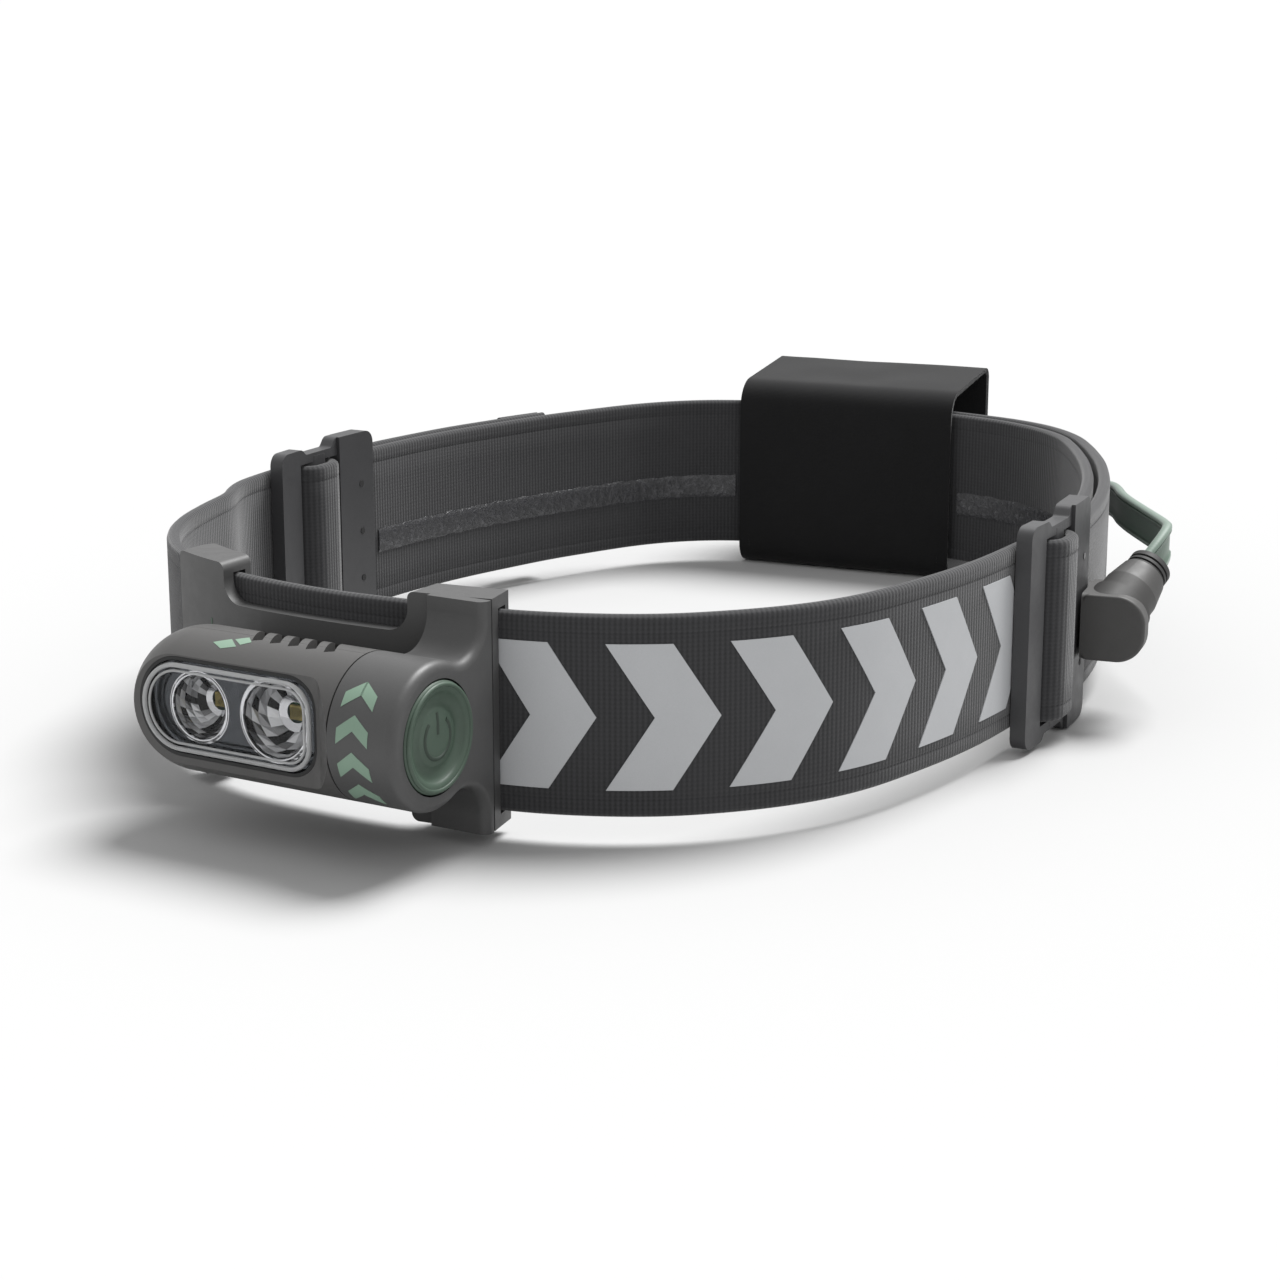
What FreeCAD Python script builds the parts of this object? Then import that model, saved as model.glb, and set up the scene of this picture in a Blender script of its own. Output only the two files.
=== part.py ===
import FreeCAD, Part
import math
import os

# A headlamp with its battery in a fabric sleeve at the back of the head loop.
# Millimetres. +X is the right of the lamp as seen from in front, the lamp faces -Y, +Z is up.
# The part stands on z = 0. The loop in plan is walked from the middle of its front towards +X.
# "s" is a length along the inner face of the loop, "w" a distance outwards from that face,
# and "h" a height above the middle of the headband.

# ---- headband ----
BAND_WIDTH = 35.0
BAND_T = 2.6
BAND_MID_Z = BAND_WIDTH / 2 + 4.8    # height of the middle of the band above the ground
OUTER_LANE = BAND_T + 0.8        # the second layer of webbing starts this far out
BAND_CLEAR = 0.3                 # webbing to hard parts
GRIP_T = 0.4
GRIP_WIDTH = 5.6
GRIP_H = -3.5                    # middle of the silicone strip

# ---- the loop in plan: tangent arcs, the same on both sides of its own middle line ----
FRONT_R = 150.0
FRONT_HALF = 9.1
CORNER_R = 60.0
CORNER_TURN = 65.3
SIDE_R = 198.6
SIDE_TURN = 44.9
BACK_R = 110.0
BACK_HALF = 15.2
LOOP_TURN = 4.0                  # the loop lies turned by this about the lamp
FRONT_X = 0.65                   # the middle of the loop's front, from the part's origin
FRONT_Y = -107.7

# ---- lamp: a capsule on a level axle, cut flat for the lens ----
AXLE_X = FRONT_X
HEAD_R = 12.5
AXLE_Y = FRONT_Y - HEAD_R - 6.5
AXLE_Z = BAND_MID_Z + 0.5
HEAD_WALL = 1.8
HEAD_LEFT = AXLE_X - 25.0        # centre of the round left end
HEAD_RIGHT = AXLE_X + 9.0        # parting plane on the head's side
PART_GAP = 0.3
LENS_PLANE = AXLE_Y - 8.2
LENS_LENGTH = 36.0
LENS_HALF = 8.0
LENS_CORNER_R = 5.0
LENS_T = 1.8
LENS_PROUD = 0.35
LENS_LEFT = AXLE_X - 32.4
GASKET_T = 0.6
SEAM_Y = AXLE_Y - 1.0            # front housing to rear cover
SEAM_GAP = 0.06
FACE_RAMP = 4.6                  # from the flat face out to the full round
REFLECTOR_WALL = 0.7
SPOT_X = AXLE_X - 21.5
SPOT_R = 5.6
FLOOD_X = AXLE_X - 5.6
FLOOD_R = 6.6
REFLECTOR_DEPTH = 6.2
CHIP = 3.0
CHIP_T = 0.7
DOME_R = 1.25
BOARD_T = 1.2
FIN_COUNT = 6
SLOT_COUNT = 5
SLOT_PITCH = 3.7
SLOT_W = 1.8
SLOT_LEAN = 25.0
SLOT_REACH = 9.0
SLOT_MIDDLE = 1.6                # middle of the slots, from the axle back

# ---- pivot and power button ----
SHAFT_R = 3.2
SHAFT_BORE_R = 1.3
RUN_CLEAR = 0.05
HUB_T = 2.2
NUT_R = 5.0
NUT_T = 2.2
ARM_LENGTH = 13.0
ARM_BORE_R = 10.3
ARM_END_T = 2.0
BUTTON_R = 9.4
BUTTON_CLEAR = 0.3
BUTTON_TRAVEL = 0.8
FLANGE_R = 10.0
FLANGE_T = 1.2
SCREW_R = 0.95
SCREW_HEAD_R = 1.8
SCREW_RING_R = 7.6
SCREW_COUNT = 3
BOSS_END = 4.9                   # hub screw bosses, from the arm's open end

# ---- bracket ----
PLATE_T = 2.6
HOOK_T = 2.2
LIP_T = 1.5
LIP_REACH = 4.5
PLATE_LEFT_S = -47.0
PLATE_RIGHT_S = 21.0
HOOK_LEFT_W = 14.0
HOOK_RIGHT_W = 14.2
FOOT_LEFT_W = 8.0
PLATE_HALF_H = 13.0
NOTCH_R = 4.0
COVE_R = 6.0

# ---- buckles ----
BUCKLE_START = 131.5
BUCKLE_LENGTH = 33.5
BUCKLE_T = 3.0
BAR_END = 7.5                    # widths along the band, from the buckle's front edge
MID_BAR_START = BAR_END + BAND_T + 0.9
MID_BAR_END = MID_BAR_START + 7.2
PLATE_START = MID_BAR_END + BAND_T + 0.7
LEAF_T = 0.6
BAR_HALF_H = BAND_WIDTH / 2 + 3.7
DIP_HALF_H = BAND_WIDTH / 2 + 2.4
PLATE_HALF_HEIGHT = BAND_WIDTH / 2 + 4.4
WINDOW_HALF_H = BAND_WIDTH / 2 + 0.5
BEND_R = BAND_T + 1.4                     # webbing round the bars, at its middle
BULGE = BUCKLE_T + BAND_T + 0.7                      # rise of the webbing over the middle bar
BAR_CORNER_R = BEND_R - BAND_T / 2 - 0.4               # where the webbing turns against a bar
TAIL_LEFT = 60.0                 # free webbing behind the left buckle
WEAVE_TOP = 3.0                  # webbing flat on the middle bar
PIN_R = 0.7
PIN_COUNT = 3
PIN_PITCH = 10.5
TONGUE = 7.5                     # webbing held inside the sewn end plate

# ---- sleeve and battery ----
SLEEVE_S = 316.4
SLEEVE_WIDTH = 53.0
SLEEVE_T = 1.2
SLEEVE_FRONT = -5.2
SLEEVE_HALF_H = BAND_WIDTH / 2 + 4.5
SLEEVE_RISE = 3.2
SLEEVE_R = 5.5
SLEEVE_FOOT_H = -BAND_MID_Z
PACK_LENGTH = 42.0
PACK_HEIGHT = 37.0
PACK_T = 17.5
PACK_WALL = 1.4
PACK_FRONT = OUTER_LANE + BAND_T + 0.7
PACK_SHIFT = -6.0
PACK_R = 4.0
GLAND_PROUD = 2.2
GLAND_OUT = 3.6                  # the lead's outlet, from the case's front
CELL = (34.0, 30.0, 12.0)
TAIL_RIGHT_X = 4.0               # ends of the webbing inside the sleeve
LANE_CHANGE_R = 30.0

# ---- cable ----
CHANNEL_HALF_H = 3.1
CHANNEL_T = 1.2
CABLE_HALF_H = 2.8
CABLE_T = 0.8
CABLE_START = 15.0               # s where the lamp's cable enters the band
SOCKET_S = 169.0                 # middle of the socket's round end, over its stem
SOCKET_FRONT = 13.0
SOCKET_R = 6.5
SOCKET_H = -2.5
SOCKET_REACH = 12.4               # the socket's round face, outwards from its foot
SOCKET_FACE_T = 4.0
SOCKET_CLEAR = 0.4
SOCKET_T = 6.0
STEM_R = 2.6
SEAT = (160.5, 11.9, -2.0)       # s, w and h of the inner end of the plug's seat
PLUG_DIRECTION = (3.0, 15.0, 9.0)
PLUG_R = 5.6
PLUG_START = 5.0                 # along the seat's axis
PLUG_END = 13.6
PLUG_TAPER = 5.0                 # the barrel narrows over this much of its end
NOSE_R = 2.85
COLLAR_R = 6.3
BOOT_R = 4.3
BOOT_LENGTH = 3.0
LEAD_W = 7.4
LEAD_T = 2.0
LEAD_STRAIGHT = 8.0             # from the lead's last bend to its end
LEAD_GAP = 2.0                   # the lead's square end to the sloping boot
FREE_LEAD = [                    # s, w and h of the lead's bends, from the battery to the plug
    (281.0, 10.6, 0.4),
    (268.0, 9.8, 1.6),
    (255.0, 9.6, 3.4),
    (241.0, 9.2, 6.0),
    (226.0, 8.8, 8.2),
    (211.0, 8.8, 9.4),
    (196.0, 14.2, 9.2),
    (186.0, 17.9, 9.6),
]
LEAD_SPLIT = 4                   # the bend after which the lead's two halves meet
EPS = 0.02


def vec(x, y, z=0.0):
    return FreeCAD.Vector(x, y, z)


# ---------------------------------------------------------------- plan geometry

class Bend:
    """One arc in plan, walked from angle a0 to a1 (degrees) about its centre."""

    def __init__(self, centre, radius, a0, a1):
        self.centre = centre
        self.radius = radius
        self.a0 = a0
        self.a1 = a1

    def point(self, angle, out=0.0):
        """The point at an angle, moved outwards from the loop by out."""
        r = self.radius + (out if self.a1 > self.a0 else -out)
        a = math.radians(angle)
        return vec(self.centre.x + r * math.cos(a), self.centre.y + r * math.sin(a))

    def edge(self, out):
        """The arc moved outwards by out, as an edge."""
        middle = (self.a0 + self.a1) / 2
        arc = Part.Arc(self.point(self.a0, out), self.point(middle, out), self.point(self.a1, out))
        return arc.toShape()


def loop_bends():
    """The whole loop from the middle of its front, as (s at the start, bend) pairs."""
    side = SIDE_TURN
    back_corner = 180 - FRONT_HALF - CORNER_TURN - side - BACK_HALF
    marks = [0, FRONT_HALF, FRONT_HALF + CORNER_TURN, FRONT_HALF + CORNER_TURN + side]
    marks += [marks[-1] + back_corner, 180]
    sines = [math.sin(math.radians(m)) for m in marks]
    half = [FRONT_R, CORNER_R, SIDE_R, None, BACK_R]
    spent = sum(r * (sines[i + 1] - sines[i]) for i, r in enumerate(half) if r)
    half[3] = spent / (sines[3] - sines[4])
    turns = [marks[i + 1] - marks[i] for i in range(5)]
    radii = half + half[::-1]
    turns = turns + turns[::-1]
    bends = []
    s = 0.0
    angle = -90.0 + LOOP_TURN
    point = vec(FRONT_X, FRONT_Y)
    for radius, turn in zip(radii, turns):
        a = math.radians(angle)
        centre = vec(point.x - radius * math.cos(a), point.y - radius * math.sin(a))
        bend = Bend(centre, radius, angle, angle + turn)
        bends.append((s, bend))
        point = bend.point(angle + turn)
        s += radius * math.radians(turn)
        angle += turn
    return bends, s


LOOP, LOOP_LENGTH = loop_bends()


def find(s):
    """The bend at s (which may be negative) and its angle there."""
    s = s % LOOP_LENGTH
    start, bend = [pair for pair in LOOP if pair[0] <= s + 1e-9][-1]
    return bend, bend.a0 + math.degrees((s - start) / bend.radius)


def at(s, w=0.0, h=0.0):
    """A point beside the loop."""
    bend, angle = find(s)
    p = bend.point(angle, w)
    return vec(p.x, p.y, BAND_MID_Z + h)


def outward(s):
    """The outward direction at s."""
    angle = math.radians(find(s)[1])
    return vec(math.cos(angle), math.sin(angle))


def run(s0, s1, w=0.0):
    """The bends of a lane w outside the loop, from s0 on to s1."""
    if s0 < 0 and s1 > 0:
        return run(s0 + LOOP_LENGTH, LOOP_LENGTH, w) + run(0.0, s1, w)
    if s0 < 0:
        s0 += LOOP_LENGTH
        s1 += LOOP_LENGTH
    pieces = []
    for start, bend in LOOP:
        end = start + bend.radius * math.radians(bend.a1 - bend.a0)
        lo = max(s0, start)
        hi = min(s1, end)
        if hi - lo > 1e-6:
            a0 = bend.a0 + math.degrees((lo - start) / bend.radius)
            a1 = bend.a0 + math.degrees((hi - start) / bend.radius)
            pieces.append(Bend(bend.centre, bend.radius + w, a0, a1))
    return pieces


def lane_change(s0, w0, w1, radius):
    """Two tangent arcs from lane w0 at s0 to lane w1, and the s where they end."""
    base, angle = find(s0)
    r0 = base.radius + w0
    r1 = base.radius + w1
    sign = 1 if w1 > w0 else -1
    d0 = r0 + sign * radius
    d1 = r1 - sign * radius
    span = math.degrees(math.acos((d0 * d0 + d1 * d1 - 4 * radius * radius) / (2 * d0 * d1)))
    end = angle + span

    def centre(distance, a):
        a = math.radians(a)
        return vec(base.centre.x + distance * math.cos(a), base.centre.y + distance * math.sin(a))

    c0 = centre(d0, angle)
    c1 = centre(d1, end)
    middle = (c0 + c1) * 0.5

    def heading(c):
        return math.degrees(math.atan2(middle.y - c.y, middle.x - c.x))

    first_start = angle + (180 if sign > 0 else 0)
    last_end = end + (0 if sign > 0 else 180)
    first_turn = (heading(c0) - first_start + 180) % 360 - 180
    last_turn = (last_end - heading(c1) + 180) % 360 - 180
    bends = [
        Bend(c0, radius, first_start, first_start + first_turn),
        Bend(c1, radius, last_end - last_turn, last_end),
    ]
    return bends, s0 + math.radians(span) * base.radius


# ---------------------------------------------------------------- solids

def ribbon(bends, inner, outer, h0, h1):
    """A strip of webbing or a curved block: bends thickened in plan, between two heights."""
    edges = [b.edge(inner) for b in bends]
    far = [b.edge(outer) for b in bends]
    start = Part.LineSegment(bends[0].point(bends[0].a0, inner), bends[0].point(bends[0].a0, outer))
    end = Part.LineSegment(bends[-1].point(bends[-1].a1, inner), bends[-1].point(bends[-1].a1, outer))
    loop = [start.toShape()] + far + [end.toShape()] + edges[::-1]
    face = Part.Face(Part.Wire(Part.__sortEdges__(loop)))
    face.translate(vec(0, 0, BAND_MID_Z + h0))
    return face.extrude(vec(0, 0, h1 - h0))


def block(s0, s1, w0, w1, h0, h1):
    """A curved block beside the loop."""
    return ribbon(run(s0, s1), w0, w1, h0, h1)


def box(x0, x1, y0, y1, z0, z1):
    return Part.makeBox(x1 - x0, y1 - y0, z1 - z0, vec(x0, y0, z0))


def rod(radius, start, end):
    """A cylinder between two points."""
    axis = end - start
    return Part.makeCylinder(radius, axis.Length, start, axis)


def rod_x(radius, x0, x1, y=AXLE_Y, z=AXLE_Z):
    return rod(radius, vec(x0, y, z), vec(x1, y, z))


def ring_x(outer, inner, x0, x1):
    return rod_x(outer, x0, x1).cut(rod_x(inner, x0 - EPS, x1 + EPS))


def rod_y(radius, y0, y1, x, z):
    return rod(radius, vec(x, y0, z), vec(x, y1, z))


def rounded(corners):
    """A closed wire through (x, y, radius) corners, each with its own rounding."""
    count = len(corners)
    starts = []
    ends = []
    for i, (x, y, r) in enumerate(corners):
        here = vec(x, y)
        back = vec(*corners[i - 1][:2]) - here
        ahead = vec(*corners[(i + 1) % count][:2]) - here
        back.normalize()
        ahead.normalize()
        half = back.getAngle(ahead) / 2
        reach = r / math.tan(half)
        starts.append(here + back * reach)
        ends.append((here + ahead * reach, here, back, ahead, half, r))
    edges = []
    for i in range(count):
        leave, corner, back, ahead, half, r = ends[i]
        if r > 0:
            bisector = back + ahead
            bisector.normalize()
            nearest = corner + bisector * (r / math.sin(half) - r)
            edges.append(Part.Arc(starts[i], nearest, leave).toShape())
        following = starts[(i + 1) % count]
        if leave.distanceToPoint(following) > 1e-6:
            edges.append(Part.LineSegment(leave, following).toShape())
    return Part.Wire(edges)


def front_prism(wire, y0, y1):
    """A wire drawn in (x, z) made a solid between two depths."""
    face = Part.Face(wire)
    face.rotate(vec(0, 0), vec(1, 0), 90)
    face.translate(vec(0, y1))
    return face.extrude(vec(0, y0 - y1, 0))


def side_prism(wire, x0, x1):
    """A wire drawn in (y, z) made a solid between two places along X."""
    face = Part.Face(wire)
    face.rotate(vec(0, 0), FreeCAD.Vector(1, 1, 1), 120)
    face.translate(vec(x0, 0))
    return face.extrude(vec(x1 - x0, 0, 0))


def frame_at(s, h=0.0):
    """A placement beside the loop: its X runs back along -s, Y outwards, Z up."""
    out = outward(s)
    turn = math.degrees(math.atan2(out.y, out.x)) - 90
    return FreeCAD.Placement(at(s, 0, h), FreeCAD.Rotation(vec(0, 0, 1), turn))


def placed(shape, placement):
    """A copy of a shape moved to a placement, with the move taken into its geometry."""
    return shape.transformed(placement.toMatrix())


def fuse(shapes):
    return shapes[0].multiFuse(shapes[1:]).removeSplitter()


def soften(shape, radius, wanted):
    """Fillet the edges that a test picks."""
    return shape.makeFillet(radius, [e for e in shape.Edges if wanted(e)])


# ---------------------------------------------------------------- lamp head

def capsule(radius, right):
    """The lamp's round body: a rod with one ball end."""
    ball = Part.makeSphere(radius, vec(HEAD_LEFT, AXLE_Y, AXLE_Z))
    return fuse([rod_x(radius, HEAD_LEFT, right), ball])


def lens_outline(grow=0.0):
    """The lens from in front: a half round at the left, rounded corners at the right."""
    left = LENS_LEFT - grow
    right = LENS_LEFT + LENS_LENGTH + grow
    top = AXLE_Z + 0.5 + LENS_HALF + grow
    bottom = AXLE_Z + 0.5 - LENS_HALF - grow
    half = LENS_HALF + grow - EPS
    corner = LENS_CORNER_R + grow
    return rounded([(left, bottom, half), (right, bottom, corner), (right, top, corner), (left, top, half)])


def head_outer():
    """The outside of the lamp head, with its flat face and the ramp beside the arm."""
    body = capsule(HEAD_R, HEAD_RIGHT)
    ahead = AXLE_Y - HEAD_R - 5
    ramp_x = HEAD_RIGHT - FACE_RAMP
    corners = [
        (HEAD_LEFT - 20, LENS_PLANE, 0),
        (HEAD_LEFT - 20, ahead, 0),
        (HEAD_RIGHT + 2, ahead, 0),
        (HEAD_RIGHT + 2, AXLE_Y - HEAD_R - 1.2, 0),
        (ramp_x, LENS_PLANE, 4.0),
    ]
    face = Part.Face(rounded(corners))
    face.translate(vec(0, 0, AXLE_Z - 20))
    return body.cut(face.extrude(vec(0, 0, 40)))


def head_cavity():
    inner = capsule(HEAD_R - HEAD_WALL, HEAD_RIGHT - 2.8)
    front = LENS_PLANE + LENS_T - LENS_PROUD + 0.2
    return inner.cut(box(HEAD_LEFT - 20, HEAD_RIGHT + 5, AXLE_Y - 20, front, AXLE_Z - 20, AXLE_Z + 20))


def cooling_slots():
    """Slanted slots through the top of the lamp head, over its seam."""
    cuts = []
    for i in range(SLOT_COUNT):
        cut = box(-SLOT_W / 2, SLOT_W / 2, -SLOT_REACH / 2, SLOT_REACH / 2, 0, 8)
        cut.rotate(vec(0, 0), vec(0, 0, 1), SLOT_LEAN)
        cut.translate(vec(AXLE_X - 14.0 + i * SLOT_PITCH, AXLE_Y + SLOT_MIDDLE, AXLE_Z + HEAD_R - 4.2))
        cuts.append(cut)
    return cuts


def cover_screw_places():
    return [(HEAD_LEFT - 4.6, AXLE_Z + side * 6.9) for side in (-1, 1)]


def make_head():
    """The front housing and the rear cover of the lamp head."""
    outer = head_outer()
    shell = outer.cut(head_cavity())
    shell = shell.cut(rod_x(SHAFT_R + RUN_CLEAR, AXLE_X, HEAD_RIGHT + 1))
    window = front_prism(lens_outline(GASKET_T + 0.05), AXLE_Y - 20, AXLE_Y - 5)
    far = 40.0
    front_half = box(AXLE_X - far, AXLE_X + far, AXLE_Y - far, SEAM_Y, AXLE_Z - far, AXLE_Z + far)
    rear_half = box(AXLE_X - far, AXLE_X + far, SEAM_Y + SEAM_GAP, AXLE_Y + far, AXLE_Z - far, AXLE_Z + far)
    housing = shell.common(front_half).cut(window)
    cover = shell.common(rear_half)
    for x, z in cover_screw_places():
        boss = rod_y(2.1, SEAM_Y - 3.4, SEAM_Y, x, z)
        housing = housing.fuse(boss).cut(rod_y(SCREW_R - 0.1, SEAM_Y - 2.8, SEAM_Y + EPS, x, z))
        post = rod_y(2.5, SEAM_Y + SEAM_GAP, AXLE_Y + HEAD_R, x, z).common(outer)
        cover = cover.fuse(post).cut(rod_y(SCREW_R + 0.15, SEAM_Y, AXLE_Y + 20, x, z))
        cover = cover.cut(rod_y(SCREW_HEAD_R + 0.15, SEAM_Y + 3.0, AXLE_Y + 20, x, z))
    for cut in cooling_slots():
        cover = cover.cut(cut)
        housing = housing.cut(cut)
    return {"head_housing": housing.removeSplitter(), "head_rear_cover": cover.removeSplitter()}


def make_cover_screws():
    screws = []
    for x, z in cover_screw_places():
        shank = rod_y(SCREW_R, SEAM_Y - 2.6, SEAM_Y + 3.1, x, z)
        head = rod_y(SCREW_HEAD_R, SEAM_Y + 3.1, SEAM_Y + 4.5, x, z)
        slot = box(x - 0.3, x + 0.3, SEAM_Y + 4.0, SEAM_Y + 5, z - 1.2, z + 1.2)
        screws.append(shank.fuse(head).cut(slot))
    return Part.makeCompound(screws)


def make_lens():
    """The clear lens, its gasket and the bright plate between the reflectors."""
    front = LENS_PLANE - LENS_PROUD
    back = front + LENS_T
    lens = front_prism(lens_outline(), front, back)
    lens = soften(lens, 0.6, lambda e: abs(e.CenterOfMass.y - front) < 0.01)
    gasket = front_prism(lens_outline(GASKET_T), front + 0.3, back)
    gasket = gasket.cut(front_prism(lens_outline(0.03), front, back + 1))
    plate = front_prism(lens_outline(-0.3), back + 0.05, back + 0.75)
    for x, radius in ((SPOT_X, SPOT_R), (FLOOD_X, FLOOD_R)):
        plate = plate.cut(rod_y(radius + REFLECTOR_WALL + 0.05, front, back + 3, x, AXLE_Z + 0.4))
    return {"lens": lens, "lens_gasket": gasket, "optic_plate": plate}


def cup(x, radius):
    """A parabolic reflector cup with a hole for its light source."""
    mouth = LENS_PLANE - LENS_PROUD + LENS_T + 0.1
    z = AXLE_Z + 0.4

    def bowl(r, depth, start):
        hole = 1.9
        bend = vec(x + hole + (r - hole) * 0.72, start + depth * 0.62, z)
        arc = Part.Arc(vec(x + r, start, z), bend, vec(x + hole, start + depth, z)).toShape()
        base = Part.LineSegment(vec(x + hole, start + depth, z), vec(x, start + depth, z)).toShape()
        axis = Part.LineSegment(vec(x, start + depth, z), vec(x, start, z)).toShape()
        lid = Part.LineSegment(vec(x, start, z), vec(x + r, start, z)).toShape()
        face = Part.Face(Part.Wire([arc, base, axis, lid]))
        return face.revolve(vec(x, 0, z), vec(0, 1, 0), 360)

    outer = bowl(radius + REFLECTOR_WALL, REFLECTOR_DEPTH, mouth)
    inner = bowl(radius, REFLECTOR_DEPTH - 0.5, mouth - EPS)
    return outer.cut(inner).cut(rod_y(1.85, mouth, mouth + REFLECTOR_DEPTH + 1, x, z))


def make_light():
    """Reflectors, light sources, their board and the heat sink behind it."""
    mouth = LENS_PLANE - LENS_PROUD + LENS_T + 0.1
    back = mouth + REFLECTOR_DEPTH
    z = AXLE_Z + 0.4
    board_y = back + 0.05
    left = AXLE_X - 25.2
    right = AXLE_X - 1.0
    board = box(left, right, board_y, board_y + BOARD_T, z - 7.2, z + 7.2)
    sink_y = board_y + BOARD_T
    sink = box(left, right, sink_y, sink_y + 2.0, z - 7.2, z + 7.2)
    pitch = (right - left - 1.0) / (FIN_COUNT - 1)
    fins = [box(left + i * pitch, left + i * pitch + 1.0, sink_y + 1.9, sink_y + 7.0, z - 6.0, z + 6.0)
            for i in range(FIN_COUNT)]
    chips = []
    domes = []
    for x in (SPOT_X, FLOOD_X):
        half = CHIP / 2 - 0.3
        chips.append(box(x - half, x + half, board_y - CHIP_T, board_y, z - half, z + half))
        ball = Part.makeSphere(DOME_R, vec(x, board_y - CHIP_T, z))
        domes.append(ball.common(box(x - 2, x + 2, board_y - 4, board_y - CHIP_T, z - 2, z + 2)))
    return {
        "reflector_spot": cup(SPOT_X, SPOT_R),
        "reflector_flood": cup(FLOOD_X, FLOOD_R),
        "led_board": board,
        "led_chips": Part.makeCompound(chips),
        "led_domes": Part.makeCompound(domes),
        "heat_sink": fuse([sink] + fins),
    }


# ---------------------------------------------------------------- pivot and button

ARM_LEFT = HEAD_RIGHT + PART_GAP
ARM_RIGHT = ARM_LEFT + ARM_LENGTH


def hub_screw_places():
    places = []
    for i in range(SCREW_COUNT):
        a = math.radians(90 + 360 * i / SCREW_COUNT)
        places.append((AXLE_Y + SCREW_RING_R * math.cos(a), AXLE_Z + SCREW_RING_R * math.sin(a)))
    return places


def make_pivot():
    """The hub screwed into the arm, its hollow shaft, and what runs on it."""
    wall_in = HEAD_RIGHT - 2.8
    washer_left = wall_in - 0.7
    nut_left = washer_left - 0.05 - NUT_T
    flange = rod_x(ARM_BORE_R - 0.05, ARM_LEFT, ARM_LEFT + HUB_T)
    shaft = rod_x(SHAFT_R, nut_left - 0.6, ARM_LEFT + EPS)
    hub = flange.fuse(shaft).cut(rod_x(SHAFT_BORE_R, nut_left - 2, ARM_LEFT + HUB_T + 1))
    groove = ring_x(SHAFT_R + 2.6, SHAFT_R + 1.2, ARM_LEFT - 1, ARM_LEFT + 0.7)
    hub = hub.cut(groove)
    seal = Part.makeTorus(SHAFT_R + 1.9, 0.45, vec(ARM_LEFT + 0.22, AXLE_Y, AXLE_Z), vec(1, 0))
    screws = []
    for y, z in hub_screw_places():
        hub = hub.cut(rod_x(SCREW_HEAD_R + 0.15, ARM_LEFT - 1, ARM_LEFT + 1.2, y, z))
        hub = hub.cut(rod_x(SCREW_R + 0.15, ARM_LEFT, ARM_LEFT + 4, y, z))
        head = rod_x(SCREW_HEAD_R, ARM_LEFT + 0.1, ARM_LEFT + 1.2, y, z)
        shank = rod_x(SCREW_R, ARM_LEFT + 1.2, ARM_LEFT + 4.6, y, z)
        slot = box(ARM_LEFT, ARM_LEFT + 0.6, y - 1.2, y + 1.2, z - 0.3, z + 0.3)
        screws.append(head.fuse(shank).cut(slot))
    nut = rod_x(NUT_R, nut_left, nut_left + NUT_T).cut(rod_x(SHAFT_R + 0.02, nut_left - 1, nut_left + 5))
    for side in (-1, 1):
        flat = AXLE_Z + side * (NUT_R - 0.6)
        nut = nut.cut(box(nut_left - 1, nut_left + 5, AXLE_Y - 9, AXLE_Y + 9, min(flat, flat + side * 5),
                          max(flat, flat + side * 5)))
    return {
        "pivot_hub": hub.removeSplitter(),
        "pivot_seal": seal,
        "pivot_nut": nut,
        "friction_washer": ring_x(NUT_R + 0.8, SHAFT_R + 0.06, washer_left, wall_in - 0.02),
        "hub_screws": Part.makeCompound(screws),
    }


def make_button():
    """The power button and what it works on inside the arm."""
    end = ARM_RIGHT
    flange_right = end - ARM_END_T - BUTTON_CLEAR
    flange_left = flange_right - FLANGE_T
    profile = [
        (flange_left - 0.9, 0), (flange_left - 0.9, 2.4), (flange_left, 2.4), (flange_left, FLANGE_R),
        (flange_right, FLANGE_R), (flange_right, BUTTON_R), (end - 0.1, BUTTON_R),
    ]
    lines = [vec(x, AXLE_Y, AXLE_Z + r) for x, r in profile]
    edges = [Part.LineSegment(a, b).toShape() for a, b in zip(lines, lines[1:])]
    rim = [(end - 0.1, BUTTON_R), (end + 0.45, BUTTON_R - 0.8), (end - 0.1, BUTTON_R - 2.0)]
    dish = [rim[-1], (end - 0.75, BUTTON_R - 3.4), (end - 0.35, BUTTON_R - 4.6)]
    crown = [dish[-1], (end - 0.1, 3.6), (end, 2.2)]
    for three in (rim, dish, crown):
        points = [vec(x, AXLE_Y, AXLE_Z + r) for x, r in three]
        edges.append(Part.Arc(*points).toShape())
    middle = vec(end, AXLE_Y, AXLE_Z)
    edges.append(Part.LineSegment(vec(end, AXLE_Y, AXLE_Z + 2.2), middle).toShape())
    edges.append(Part.LineSegment(middle, lines[0]).toShape())
    button = Part.Face(Part.Wire(edges)).revolve(vec(0, AXLE_Y, AXLE_Z), vec(1, 0), 360)
    board_x = ARM_LEFT + BOSS_END + 0.2
    board = rod_x(ARM_BORE_R - 0.3, board_x, board_x + 1.0)
    board = board.cut(rod_x(1.4, board_x - 1, board_x + 3, AXLE_Y + 5.0, AXLE_Z - 4.0))
    switch_x = board_x + 1.0
    tip = flange_left - 0.9 - BUTTON_TRAVEL - 0.2
    case = box(switch_x, switch_x + 1.0, AXLE_Y - 2.6, AXLE_Y + 2.6, AXLE_Z - 2.6, AXLE_Z + 2.6)
    switch = case.fuse(rod_x(1.5, switch_x + 0.9, tip))
    seal_right = flange_left - BUTTON_TRAVEL - 0.25
    return {
        "power_button": button,
        "switch_board": board,
        "tact_switch": switch.removeSplitter(),
        "button_seal": ring_x(ARM_BORE_R - 0.05, 9.2, seal_right - 1.6, seal_right),
    }


# ---------------------------------------------------------------- bracket

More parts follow.
